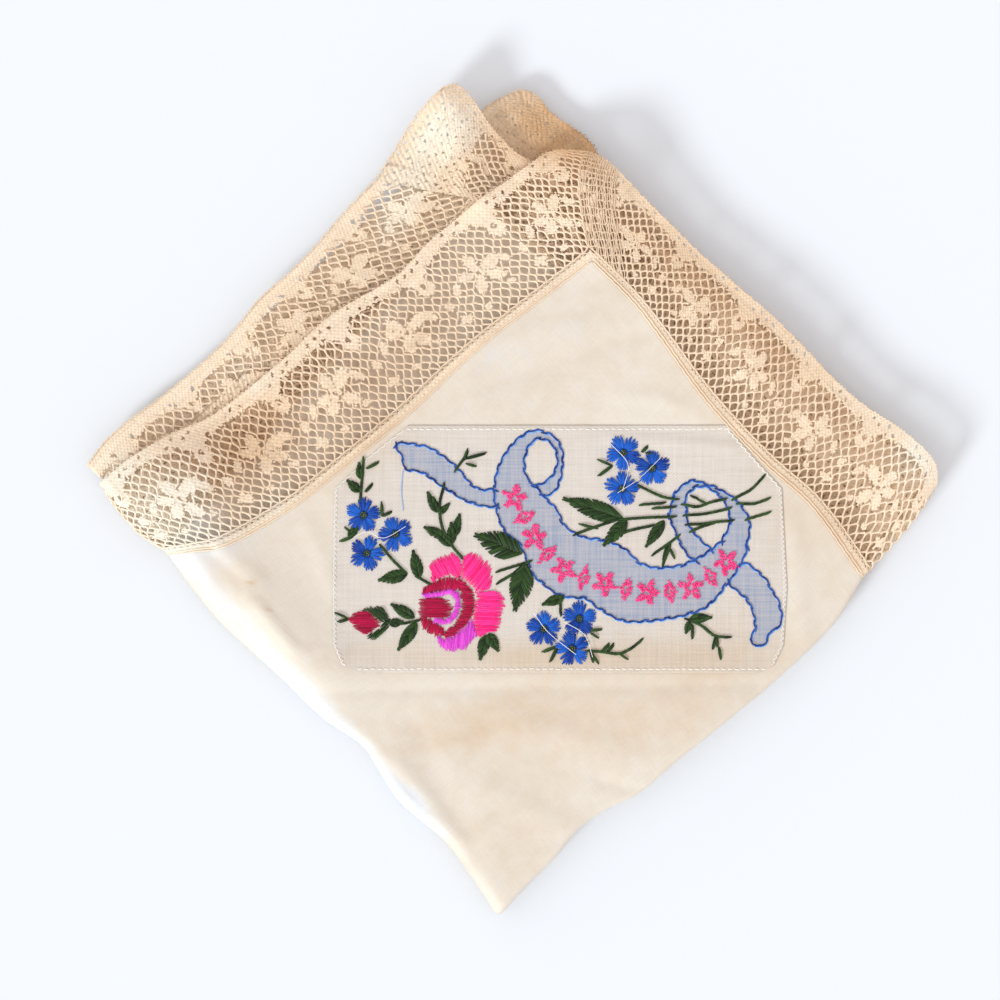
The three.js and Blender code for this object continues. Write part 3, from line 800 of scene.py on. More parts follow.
# Small clothwork figures: share of the repeat, v, half length, half width, turn in degrees
sprigs = [
    (0.20, 12.6, 1.7, 0.8, 60), (0.80, 12.2, 1.8, 0.85, -55), (0.02, 11.0, 1.2, 0.9, 90),
    (0.03, 6.3, 1.7, 0.65, 0), (0.03, 6.3, 1.6, 0.6, 90), (0.30, 5.6, 0.9, 0.7, 20),
    (0.66, 6.8, 0.9, 0.7, -20),
]
# place turns a way along (u) and a way out from the seam (v) into a place on the flat square.
# repeat and phase set the figures, fullness their size and pitch the net. Each dense stretch
# (u from, u to, v to, share) is close clothwork with small holes, and wave the height of its
# crumple. gather (start, end, spacing) is bunched into folds.
laceStrips = {
    "upper_left": {
        "place": lambda u, v: (silkHalf + v, u), "repeat": 19.6, "phase": 4.2, "pitch": 1.19,
        "fullness": 1.0, "wave": 0.1, "droop": 1.3, "dense": [(-140.0, -2.0, 30.0, 0.8)],
    },
    "upper_right": {
        "place": lambda u, v: (u, silkHalf + v), "repeat": 22.2, "phase": 3.0, "pitch": 1.40,
        "fullness": 1.0, "wave": 0.1, "droop": 0.5, "gather": (97.5, 110.0, 0.95),
        "dense": [(-72.0, -3.0, 30.0, 0.85), (-140.0, -118.0, 30.0, 0.8)],
    },
    "under_left": {
        "place": lambda u, v: (-silkHalf - v, u), "repeat": 20.4, "phase": 11.0, "pitch": 1.5,
        "fullness": 1.3, "wave": 0.2, "droop": 0.6,
        "dense": [(-140.0, -2.0, 30.0, 0.93), (-2.0, 46.0, 15.0, 0.85), (110.0, 140.0, 30.0, 0.8)],
    },
    "under_right": {
        "place": lambda u, v: (u, -silkHalf - v), "repeat": 22.2, "phase": 16.0, "pitch": 1.5,
        "fullness": 1.0, "wave": 0.2, "droop": 0.0, "dense": [(-140.0, 140.0, 30.0, 0.93)],
    },
}


def lacePoint(strip, u, v, lift=0.0):
    # A point of a strip; the outer part hangs a little towards the layer below
    outer = np.clip((v - lace["hangFrom"]) / lace["hangOver"], 0, 1)
    hang = strip["droop"] * outer ** 2 * (np.abs(u) < silkHalf + lace["mitre"])
    return clothPoint(*strip["place"](u, v), lift - hang)


def ovalReach(u, v, halfLength, halfWidth, turn):
    # Below 1 inside an oval that lies round 0, 0
    c, s = math.cos(math.radians(turn)), math.sin(math.radians(turn))
    return np.hypot((u * c + v * s) / halfLength, (v * c - u * s) / halfWidth)


def raggedRim(u, v):
    (rate, sway, swayRate), (crossRate, crossSway, crossSwayRate) = ragWaves
    along = np.sin(rate * u + sway * np.sin(swayRate * v))
    across = np.sin(crossRate * v + crossSway * np.sin(crossSwayRate * u))
    return lace["ragged"] * (along + across)


def isHole(kind, u, v):
    return ovalReach(u, v, *holes[kind]) <= 1


def clothworkAt(u, v, strip):
    # Where the lace is close clothwork: the arched border, its lobes, the flowers and sprigs
    repeat, phase, fullness = strip["repeat"], strip["phase"], strip["fullness"]
    number = np.floor((u - phase) / repeat)
    share = (u - phase) / repeat - number
    away = np.minimum(share, 1 - share) * repeat
    along = np.where(share < 0.5, 1, -1) * away
    depth = laceWidth - v
    fromLobe = depth - border["lobeDepth"]
    rough = raggedRim(u, v)
    spandrel = border["wide"] * np.abs(2 * share - 1) ** border["power"]
    covered = depth < (border["narrow"] + spandrel) * fullness + rough
    lobe = ovalReach(fromLobe, along, border["lobeLength"], border["lobeWidth"], 0)
    covered |= lobe + rough * border["lobeRough"] < 1
    covered &= ~isHole("eye", fromLobe + holes["eyeRise"], along)
    covered &= ~isHole("slit", depth - holes["slitDepth"], away - holes["slitAway"])
    pinStep = repeat / holes["pinsInRepeat"]
    pinNumber = np.floor((u - phase) / pinStep)
    pin = u - phase - (pinNumber + 0.5) * pinStep
    isPinned = (np.sin(holes["pinRate"] * pinNumber + 2) < holes["pinLimit"]) & (fullness < holes["fullest"])
    pinDepth = depth - holes["pinDepth"] - holes["pinSway"] * np.sin(holes["pinSwayRate"] * pinNumber)
    covered &= ~(isPinned & isHole("pin", pinDepth, pin))
    fromFlower = (share - flowerAt["share"]) * repeat
    fromHeart = v - flowerAt["v"]
    ring = np.hypot(fromFlower, fromHeart)
    rim = rough * flowerAt["rough"]
    covered |= (ring < flowerAt["ring"] + rim) & (ring > flowerAt["hole"])
    for angle, distance, halfLength, halfWidth in flowerPetals:
        turned = np.radians(angle + flowerAt["turn"] * np.sin(flowerAt["turnRate"] * number + angle))
        c, s = np.cos(turned), np.sin(turned)
        outward = fromFlower * c + fromHeart * s - distance
        across = fromHeart * c - fromFlower * s
        covered |= np.hypot(outward / halfLength, across / halfWidth) + rim < fullness
    for atShare, atV, *oval in sprigs:
        fromSprig = (np.mod(share - atShare + 0.5, 1.0) - 0.5) * repeat
        covered |= ovalReach(fromSprig, v - atV, *oval) + rim < 1
    return covered & (v > lace["header"])


def inDense(u, v, strip):
    # The share that is kept of each dense stretch, and 0 outside of them
    kept = np.zeros_like(u)
    for start, end, reach, share in strip["dense"]:
        kept = np.where((u > start) & (u < end) & (v < reach), share, kept)
    return kept


def barLattice(random, pitch):
    # Knots of the net: every second point of a grid, each drawn out into a short bar
    rows = int(round((laceWidth - lace["header"]) / pitch))
    columns = int((silkHalf + laceWidth) / pitch) + 2
    i, j = np.meshgrid(np.arange(-columns, columns + 1), np.arange(rows + 1), indexing="ij")
    jitter = random.normal(0, lace["jitter"], (*i.shape, 2))
    u = i * pitch + jitter[..., 0]
    v = lace["header"] + j * (laceWidth - lace["header"]) / rows + jitter[..., 1] * (j > 0)
    return i, j, u, v


def netLines(strip, seed):
    # The net from header to outer edge, each side of a mesh its own short thread
    random = np.random.default_rng(seed)
    i, j, u, v = barLattice(random, strip["pitch"])
    half = lace["bar"]
    isKnot = (i + j) % 2 == 0
    knots = np.stack([u[isKnot], v[isKnot]], axis=-1)
    ends = [np.stack([knots - (half, 0), knots + (half, 0)], axis=1)]
    for side in (1, -1):
        a, b = (slice(None, -1), slice(1, None)) if side == 1 else (slice(1, None), slice(None, -1))
        used = isKnot[a, :-1]
        start = np.stack([u[a, :-1][used] + side * half, v[a, :-1][used]], axis=-1)
        end = np.stack([u[b, 1:][used] - side * half, v[b, 1:][used]], axis=-1)
        ends.append(np.stack([start, end], axis=1))
    ends = np.concatenate(ends)
    middle = ends.mean(axis=1)
    inside = np.abs(middle[:, 0]) <= silkHalf + middle[:, 1]
    inside &= ~clothworkAt(*middle.T, strip) & (inDense(*middle.T, strip) == 0)
    ends = ends[inside]
    shares = np.array(lace["netShares"])[None, :, None]
    flat = mix(ends[:, :1], ends[:, 1:], shares)
    flat[:, 1:3] += random.normal(0, lace["bow"], (len(flat), 1, 2))
    return lacePoint(strip, flat[..., 0], flat[..., 1])


def headerLines(strip):
    # Straight threads with a fine zigzag between them hold the net to the silk
    inner, outer = lace["tape"], lace["header"]
    lines = []
    for v in (*lace["headerRows"], outer):
        u = np.arange(-silkHalf - v, silkHalf + v, lace["headerStep"])
        lines.append(lacePoint(strip, u, v + lace["headerSway"] * np.sin(2.1 * u), lace["headerLift"]))
    u = np.arange(-silkHalf, silkHalf, lace["zigzag"])
    v = np.where(np.arange(len(u)) % 2 == 0, inner, outer)
    lines.append(lacePoint(strip, u, outer + inner - v))
    lines.append(lacePoint(strip, u + lace["zigzag"] / 2, v))
    return lines


def gatheredLines(strip):
    # Threads of a bunched net, upright in the corner where two strips meet
    start, end, spacing = strip["gather"]
    v = np.linspace(lace["header"], laceWidth - lace["rimInset"], lace["foldPoints"])
    lines = []
    for number, along in enumerate(np.arange(start, end, spacing)):
        side = math.copysign(1.0, along)
        sway = 0.22 * np.sin(1.3 * v + 2.4 * number) + 0.14 * np.sin(3.1 * v + number ** 2)
        lines.append(lacePoint(strip, along + side * v + sway, v, lace["foldLift"]))
    return lines


def picotLines(strip):
    ends = silkHalf + laceWidth
    u = np.arange(-ends, ends, lace["picotPitch"] / 2)
    isOut = np.arange(len(u)) % 2 == 1
    length = lace["picotReach"] * (0.6 + 0.4 * np.sin(1.7 * u + np.sin(5 * u)))
    v = laceWidth - lace["picotInset"] + isOut * length
    return [lacePoint(strip, u, v, lace["picotLift"])]


def clothworkMesh(name, strip, seed):
    # Clothwork as small uneven cells, so that its edges are as ragged as thread ends
    random = np.random.default_rng(seed)
    ends, cell = silkHalf + laceWidth, lace["cell"]
    first, last = -lace["overlap"], laceWidth - lace["clothworkInset"]
    columns, rows = int(2 * ends / cell), int((laceWidth + 0.2) / cell)
    alongRow, outward = np.linspace(-ends, ends, columns), np.linspace(first, last, rows)
    u, v = np.meshgrid(alongRow, outward, indexing="ij")
    middleU, middleV = u[:-1, :-1] + cell / 2, v[:-1, :-1] + cell / 2
    dense = inDense(middleU, middleV, strip)
    step = lace["weavePitch"]
    weave = np.sin(math.pi * middleU / step + np.sin(1.9 * middleV)) * np.sin(math.pi * middleV / step)
    isKept = np.where(dense > 0, weave < dense, clothworkAt(middleU, middleV, strip))
    isKept |= middleV < lace["tape"]
    isKept &= np.abs(middleU) < silkHalf + middleV + 0.2
    quads = gridFaces(*u.shape)[isKept.ravel()]
    used, numbers = np.unique(quads, return_inverse=True)
    flat = np.stack([u.ravel()[used], v.ravel()[used]], axis=-1)
    upright = flat[:, 0] - np.sign(flat[:, 0]) * flat[:, 1] + 0.4 * np.sin(0.9 * flat[:, 1])
    wave = strip["wave"] * np.sin(2 * math.pi * upright / lace["waveLength"])
    ridge = lace["ridge"] * np.where((used // rows) % 2 == 0, 1, -1)
    lift = lace["coverLift"] + np.where(inDense(*flat.T, strip) > 0, wave, ridge)
    flat += random.normal(0, cell * lace["cellJitter"], flat.shape)
    lift += random.normal(0, lace["liftJitter"], len(used))
    points = lacePoint(strip, flat[:, 0], flat[:, 1], lift)
    piece = newMesh(name, points, numbers.reshape(-1, 4))
    setMap(piece, flat[:, 0], flat[:, 1])
    return smooth(piece)


def makeLace():
    netGirth = np.array(lace["netGirth"])
    for seed, (side, strip) in enumerate(laceStrips.items(), start=11):
        parts = [
            threads(f"lace_header_{side}", headerLines(strip), 1.0, lace["headerWidth"], laceThread),
            threads(f"lace_picots_{side}", picotLines(strip), 1.0, lace["picotWidth"], laceThread),
            clothworkMesh(f"lace_clothwork_{side}", strip, seed),
        ]
        parts[-1].data.materials.append(laceCloth)
        lines = netLines(strip, seed)
        if len(lines):
            parts.append(threads(f"lace_net_{side}", lines, netGirth, lace["threadWidth"], laceThread))
        if "gather" in strip:
            folds = gatheredLines(strip)
            parts.append(threads(f"lace_folds_{side}", folds, 1.0, lace["foldWidth"], laceThread, sides=3))
        piece = joined(f"lace_{side}", parts)
        paintStainsShadeAndHighlights(piece, lace["paintedShadeBelow"])
        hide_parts("lace_edging")
        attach(piece, "root")
        print("lace strip", side, "made of", len(piece.data.polygons), "faces")


makeLace()

# The panel: a sheer woven corner piece, sewn to the silk under the lace
panel = {"columns": 240, "rows": 130, "clear": 0.16, "thickness": 0.08}
panelOutline = [  # y, left, right
    (-39.2, -33, 56), (-37.4, -38.4, 59.6), (-33, -40.4, 61.8), (-20, -40.6, 62.6),
    (2.6, -40.2, 61.4), (9.4, -33, 55.2), (17, -23.4, 48.6),
]


def panelPoint(x, y, lift=0.0):
    return np.stack([x, y, panelHeight(x, y) + panel["clear"] + lift], axis=-1)


# The embroidered ribbon: the edges of its parts, in mm in plan
ribbon = {
    "scallop": 2.6, "depth": 0.55, "halo": 0.34, "step": 0.35, "haloShift": (0.18, -0.28),
    "archPower": 0.7, "archMiddle": 0.45,
}
tailUpper = [
    (-26.3, 12.5), (-24.8, 12.8), (-20.8, 12.3), (-18.4, 11.6), (-15.7, 9.9), (-12.4, 7.2),
    (-9.3, 3.6), (-6.8, 2.2), (-3.7, 2.4),
]
tailLower = [
    (-26.3, 12.3), (-24.6, 9.8), (-24.1, 7.3), (-20.9, 6.6), (-18.1, 5.0), (-15.7, 3.2),
    (-13.2, 1.7), (-11.0, 0.3), (-7.7, -0.9), (-3.6, -1.5),
]
leftLoopOuter = [
    (-3.4, -1.5), (-3.8, 1.2), (-3.7, 3.7), (-3.1, 6.6), (-1.7, 9.8), (0.7, 13.0), (3.3, 15.0),
    (5.6, 15.7), (8.2, 15.0), (10.2, 13.6), (11.4, 10.9), (11.4, 7.8), (11.0, 5.1), (9.7, 2.2),
    (7.1, 0.9),
]
leftLoopInner = [
    (5.3, 3.1), (3.3, 6.0), (3.0, 8.6), (3.4, 10.7), (4.4, 12.7), (6.5, 13.9), (8.5, 13.0),
    (10.0, 10.9), (10.2, 8.3), (9.4, 6.0), (7.9, 4.6), (6.2, 3.4),
]
bandLower = [
    (-3.4, -1.5), (-2.8, -3.8), (-1.7, -6.5), (1.5, -9.6), (2.9, -11.7), (5.0, -16.7), (9.1, -20.3),
    (11.7, -21.6), (17.2, -22.4), (19.6, -24.3), (24.8, -27.1), (28.7, -27.4), (32.7, -27.1),
    (39.7, -25.8), (44.3, -23.9), (48.3, -19.5), (51.6, -14.9), (53.4, -10.8),
]
bandUpper = [
    (5.3, 3.1), (7.1, 0.8), (10.0, -2.1), (12.0, -5.9), (14.3, -7.6), (17.2, -8.8), (20.7, -9.1),
    (23.5, -10.2), (25.6, -11.2), (28.7, -14.1), (31.9, -15.4), (35.3, -15.4), (38.4, -14.9),
    (41.8, -13.6), (45.5, -11.3), (47.6, -9.4),
]
rightLoopOuter = [
    (53.4, -10.8), (54.1, -6.9), (53.9, -4.1), (52.5, -1.8), (50.8, 0.3), (47.8, 2.2), (43.2, 4.1),
    (41.1, 4.5), (39.7, 4.1), (38.1, 2.9), (36.9, 1.3), (35.6, -3.6), (36.4, -5.7), (38.1, -9.7),
    (40.4, -13.2), (42.2, -13.9),
]
rightLoopInner = [
    (47.6, -9.4), (49.0, -7.1), (49.7, -4.8), (49.0, -1.5), (47.8, 0.5), (46.0, 2.0), (44.1, 3.2),
    (42.2, 3.1), (40.2, 2.0), (39.2, 0.1), (39.5, -1.8), (39.7, -4.8), (40.9, -6.9), (43.7, -10.1),
    (45.5, -11.3),
]
endOuter = [
    (52.5, -14.2), (53.9, -14.9), (57.4, -17.9), (59.0, -20.7), (60.4, -23.0), (61.1, -27.2),
    (59.7, -29.3), (58.3, -30.0), (57.8, -31.8), (56.2, -33.2),
]
endInner = [
    (49.2, -18.8), (52.5, -21.6), (54.3, -23.9), (55.3, -27.2), (55.2, -29.5), (54.4, -31.8),
    (56.2, -33.2),
]
# Each edge with the side that its scallops bulge to; two by two they bound one part
ribbonEdges = [
    (tailUpper, 1), (tailLower, -1), (leftLoopOuter, 1), (leftLoopInner, 1), (bandLower, -1),
    (bandUpper, 1), (rightLoopOuter, 1), (rightLoopInner, 1), (endOuter, 1), (endInner, -1),
]
looseThreads = [
    [(-36.5, -9.0), (-33.0, -7.2), (-29.0, -8.6), (-24.0, -6.0)],
    [(5.0, -25.6), (8.4, -30.0), (14.6, -35.0)],
    [(22.6, 12.6), (26.4, 8.0), (25.2, 2.0)], [(24.0, 1.6), (28.8, 4.8), (33.8, 9.6)],
    [(12.0, -27.6), (16.6, -30.6), (18.4, -35.6)],
]
blueStrand = [(-24.6, 6.6), (-24.9, 2.0), (-24.5, -2.4)]


def evenly(points, step):
    curve = curveThrough(points)
    length = np.sum(np.linalg.norm(np.diff(curve(np.linspace(0, 1, 200)), axis=0), axis=1))
    return curve(np.linspace(0, 1, max(int(length / step), 4)))


def scalloped(points, outward):
    # A row of small arches along a curve; outward is 1 or -1 for the side they bulge to
    path = evenly(points, ribbon["step"])
    steps = np.linalg.norm(np.diff(path, axis=0), axis=1)
    along = np.concatenate([[0.0], np.cumsum(steps)])
    tangent = np.gradient(path, axis=0)
    tangent /= np.linalg.norm(tangent, axis=1, keepdims=True)
    normal = np.stack([-tangent[:, 1], tangent[:, 0]], axis=-1)
    count = max(round(along[-1] / ribbon["scallop"]), 1)
    arch = np.abs(np.sin(math.pi * count * along / along[-1])) ** ribbon["archPower"]
    arch -= ribbon["archMiddle"]
    return path + outward * ribbon["depth"] * arch[:, None] * normal


def isInside(x, y, outline):
    # Whether points lie inside a closed outline, by the edges that a level line crosses
    inside = np.zeros(np.shape(x), dtype=bool)
    for (x0, y0), (x1, y1) in zip(outline, np.roll(outline, -1, axis=0)):
        if y0 != y1:
            crosses = (y0 > y) != (y1 > y)
            inside ^= crosses & (x < x0 + (y - y0) * (x1 - x0) / (y1 - y0))
    return inside


def shadowWorkAt(x, y):
    # Where the ribbon's threads on the back show through the organdie
    covered = np.zeros(np.shape(x), dtype=bool)
    for (one, _), (other, _) in zip(ribbonEdges[::2], ribbonEdges[1::2]):
        outline = np.concatenate([evenly(one, 1.0), evenly(other, 1.0)[::-1]])
        covered |= isInside(x, y, outline)
    return covered.astype(float)


def makePanel():
    heights, lefts, rights = np.array(panelOutline).T
    y = np.linspace(heights[0], heights[-1], panel["rows"])
    left, right = np.interp(y, heights, lefts), np.interp(y, heights, rights)
    x = mix(left[:, None], right[:, None], np.linspace(0, 1, panel["columns"]))
    y = np.broadcast_to(y[:, None], x.shape)
    piece = newMesh("panel_cloth", panelPoint(x, y), gridFaces(*x.shape))
    setMap(piece, x, y)
    paintStainsShadeAndHighlights(smooth(piece))
    layer = piece.data.attributes.new("shadowWork", "FLOAT", "POINT")
    layer.data.foreach_set("value", shadowWorkAt(x.ravel(), y.ravel()).astype(np.float32))
    thicken(piece, panel["thickness"])
    dress(piece, organdieCloth, "embroidered_panel")


makePanel()
print("panel made")

# Embroidery threads
threadLooks = {
    "navy": {"dark": rgb(10, 32, 100), "light": rgb(38, 86, 168)},
    "sky": {"dark": rgb(96, 140, 205), "light": rgb(150, 185, 230)},
    "blue": {"dark": rgb(4, 42, 132), "light": rgb(24, 98, 200)},
    "green": {"dark": rgb(8, 24, 8), "light": rgb(46, 76, 26)},
    "crimson": {"dark": rgb(140, 0, 46), "light": rgb(192, 0, 72)},
    "rose": {"dark": rgb(236, 8, 108), "light": rgb(255, 62, 160)},
    "violet": {"dark": rgb(200, 44, 190), "light": rgb(230, 90, 214)},
    "seed": {"dark": rgb(236, 30, 116), "light": rgb(255, 92, 160)},
    "white": {"dark": rgb(232, 226, 216), "light": rgb(252, 248, 240)},
}
for look in threadLooks.values():
    look.update({"roughness": 0.55, "sheen": 0.03, "specular": 0.25, "grain": 3000.0, "bump": 0.4})
stitchThread = {name: threadMaterial(f"{name}Silk", look) for name, look in threadLooks.items()}
stemStitch = {"spacing": 1.1, "length": 2.3, "width": 0.72, "slant": 0.12}
outlineStitch = {"spacing": 1.1, "length": 1.7, "width": 0.5, "slant": 0.06}
satin = {"pitch": 0.30, "width": 0.36, "rise": 0.28, "jitter": 0.22, "outlineStep": 0.4}
taper = np.array([0.5, 0.95, 1.0, 0.95, 0.5])


def onPanel(points, lift):
    points = np.asarray(points, float)
    return panelPoint(points[..., 0], points[..., 1], lift)


def straightStitch(start, end, rise=0.2, lift=0.08):
    # One stitch between two holes, a little raised at its middle
    shares = np.linspace(0, 1, 5)[:, None]
    flat = mix(np.asarray(start, float), np.asarray(end, float), shares)
    return onPanel(flat, lift + rise * np.sin(math.pi * shares[:, 0]))


def satinFill(outline, heading, random):
    # Parallel stitches across an outline, side by side
    c, s = math.cos(math.radians(heading)), math.sin(math.radians(heading))
    turn = np.array([[c, s], [-s, c]])
    flat = evenly(outline + outline[:1], satin["outlineStep"]) @ turn.T
    lines = []
    for y in np.arange(flat[:, 1].min() + 0.1, flat[:, 1].max(), satin["pitch"]):
        x0, y0 = flat.T
        x1, y1 = np.roll(flat, -1, axis=0).T
        crosses = (y0 > y) != (y1 > y)
        meets = np.sort(x0[crosses] + (y - y0[crosses]) * (x1 - x0)[crosses] / (y1 - y0)[crosses])
        for start, end in zip(meets[::2], meets[1::2]):
            ends = np.array([[start, y], [end, y]])
            ends += random.normal(0, satin["jitter"], (2, 2)) * (1, 0.2)
            lines.append(straightStitch(*(ends @ turn), satin["rise"]))
    return lines


roseParts = {  # thread, heading of its stitches and outline
    "petalUpperLeft": ("rose", 118, [
        (-11.2, -15.5), (-12.1, -13.0), (-13.7, -11.9), (-15.4, -12.7), (-17.9, -14.1), (-18.7, -15.0),
        (-18.1, -16.3), (-18.3, -17.7), (-17.6, -18.5), (-15.7, -17.4), (-13.7, -17.1), (-12.1, -17.7),
    ]),
    "petalUpperRight": ("rose", 52, [
        (-11.2, -15.5), (-11.0, -13.2), (-9.6, -12.0), (-8.2, -12.1), (-6.6, -13.2), (-4.9, -14.9),
        (-4.5, -16.3), (-4.5, -18.2), (-5.2, -20.1), (-7.8, -20.7), (-9.6, -18.8), (-11.5, -17.4),
    ]),
    "petalRight": ("rose", 177, [
        (-7.8, -21.0), (-5.5, -20.7), (-3.3, -20.8), (-1.9, -21.8), (-1.6, -23.4), (-2.1, -25.7),
        (-2.7, -27.9), (-3.3, -29.7), (-5.2, -30.1), (-7.1, -30.9), (-8.5, -29.5), (-8.6, -25.7),
        (-8.2, -22.9),
    ]),
    "petalBelow": ("violet", 84, [
        (-17.0, -30.9), (-16.5, -32.5), (-15.4, -33.9), (-13.7, -34.2), (-11.5, -34.1), (-10.2, -33.6),
        (-8.5, -31.2), (-7.9, -30.6), (-8.5, -28.4), (-9.0, -27.0), (-11.0, -29.0), (-13.2, -30.6),
        (-14.8, -31.2),
    ]),
    "crescent": ("crimson", 0, [
        (-12.1, -17.4), (-10.4, -18.8), (-9.0, -20.4), (-8.4, -22.4), (-8.5, -25.1), (-9.6, -27.6),
        (-11.5, -29.5), (-13.7, -30.9), (-15.7, -30.9), (-14.8, -29.5), (-13.2, -28.4), (-11.8, -26.2),
        (-11.2, -23.4), (-11.4, -21.2), (-12.4, -19.3),
    ]),
    "heart": ("crimson", 0, [
        (-20.6, -22.4), (-17.6, -22.1), (-15.1, -22.4), (-13.7, -23.7), (-13.7, -25.7), (-14.8, -26.7),
        (-17.6, -26.6), (-20.6, -26.7), (-20.9, -24.6),
    ]),
    "heartAbove": ("crimson", 78, [
        (-20.1, -20.1), (-18.7, -19.0), (-16.5, -17.9), (-14.3, -17.4), (-12.4, -18.2), (-11.5, -20.1),
        (-13.7, -20.7), (-16.5, -20.8), (-19.5, -21.5), (-20.1, -21.0),
    ]),
    "heartBelow": ("crimson", 70, [
        (-20.9, -26.7), (-17.6, -27.3), (-16.5, -28.4), (-15.4, -29.5), (-15.7, -30.6), (-17.9, -30.6),
        (-19.5, -29.8), (-20.3, -28.4),
    ]),
    "bud": ("crimson", 0, [
        (-37.2, -27.0), (-35.8, -25.7), (-33.9, -25.1), (-32.2, -25.4), (-30.8, -26.7), (-29.7, -27.9),
        (-30.8, -29.2), (-33.0, -30.3), (-35.0, -29.5), (-36.3, -28.4),
    ]),
    "sepalAbove": ("green", 140, [
        (-33.6, -25.1), (-31.9, -24.4), (-30.3, -24.1), (-28.8, -24.9), (-27.8, -27.0), (-29.0, -27.8),
        (-30.2, -27.1), (-32.0, -25.5),
    ]),
    "sepalBelow": ("green", 40, [
        (-33.0, -30.9), (-31.7, -31.9), (-30.3, -31.0), (-28.4, -29.5), (-27.5, -28.4), (-27.8, -27.0),
        (-29.2, -27.8), (-29.9, -29.1), (-32.0, -30.3),
    ]),
}
roseHeart = (-16.5, -24.3)
innerFrill = [  # the light band between the rose's heart and its crescent
    (-19.8, -21.7), (-16.5, -21.3), (-13.8, -20.8), (-12.4, -21.8), (-12.2, -24.1), (-13.1, -26.4),
    (-14.9, -27.6), (-17.4, -27.2),
]
# Leaves: base x, y, tip x, y and width; the narrow ones are single stitches
leaves = [
    (2.4, -12.1, -8.1, -8.0, 5.2), (3.4, -14.3, 0.8, -24.9, 4.6), (25.4, -4.4, 12.1, 0.2, 3.8),
    (26.2, -4.7, 21.0, -10.2, 2.8), (34.6, -4.7, 30.6, -10.5, 2.2), (12.0, -21.9, 7.1, -23.7, 2.0),
    (-16.8, -2.8, -19.0, 1.7, 1.8), (-16.2, -3.0, -14.1, -0.8, 1.2), (-15.4, -8.3, -19.7, -6.2, 2.0),
    (-13.7, -10.5, -17.6, -6.6, 1.8), (-13.5, -9.9, -13.7, -5.2, 1.8), (-12.9, -8.3, -11.8, -3.3, 1.7),
    (-20.9, -17.7, -22.3, -11.6, 2.4), (-23.7, -16.8, -30.0, -18.2, 2.6), (-22.0, -26.7, -27.2, -23.7, 2.2),
    (-21.5, -27.9, -25.6, -33.9, 2.4), (-5.7, -30.6, -7.1, -36.1, 2.3), (-5.2, -30.3, -3.0, -34.2, 2.2),
    (-27.6, -28.0, -24.6, -27.6, 1.8), (-37.0, -8.2, -34.6, -6.0, 1.6), (40.4, -26.9, 45.3, -26.6, 1.9),
    (40.4, -27.6, 39.5, -30.2, 1.3), (-34.2, 4.9, -34.6, 8.4, 1.6), (-34.4, 1.9, -37.2, 4.4, 1.9),
]
lashes = [
    (-33.0, 7.2, -30.0, 8.8), (-33.3, 1.9, -31.5, 3.9), (-11.0, 9.1, -9.9, 11.7), (-10.7, 9.4, -5.6, 10.8),
    (-10.4, 8.3, -7.9, 7.7), (-29.5, -3.6, -29.5, -0.3), (-29.5, -3.6, -27.1, -2.5),
    (-36.1, -8.3, -39.1, -9.4), (-36.5, -7.3, -37.9, -6.1), (-37.2, -26.7, -40.1, -25.5),
    (-37.2, -27.0, -39.5, -27.6), (17.5, -29.5, 20.6, -29.2), (17.8, -30.0, 19.8, -31.3),
    (20.4, -34.2, 22.2, -32.4), (21.7, -34.2, 23.2, -32.4), (24.3, -34.8, 26.5, -36.1),
    (18.0, -34.5, 19.8, -37.2), (17.8, -34.2, 18.5, -36.9), (10.2, -33.1, 6.8, -34.5),
    (10.4, -33.1, 8.6, -36.8), (29.4, 10.9, 30.9, 12.4), (30.3, 10.7, 32.3, 10.5),
    (22.7, 7.9, 19.4, 9.2), (22.7, 7.8, 19.5, 5.4), (35.2, -10.2, 34.3, -13.7),
    (35.8, -10.8, 37.0, -13.4), (40.9, -28.1, 40.9, -31.6), (46.2, -30.9, 45.5, -33.9),
    (46.4, -30.9, 46.6, -33.4), (46.9, -33.2, 47.4, -36.2), (19.4, -6.4, 15.2, -5.4),
]
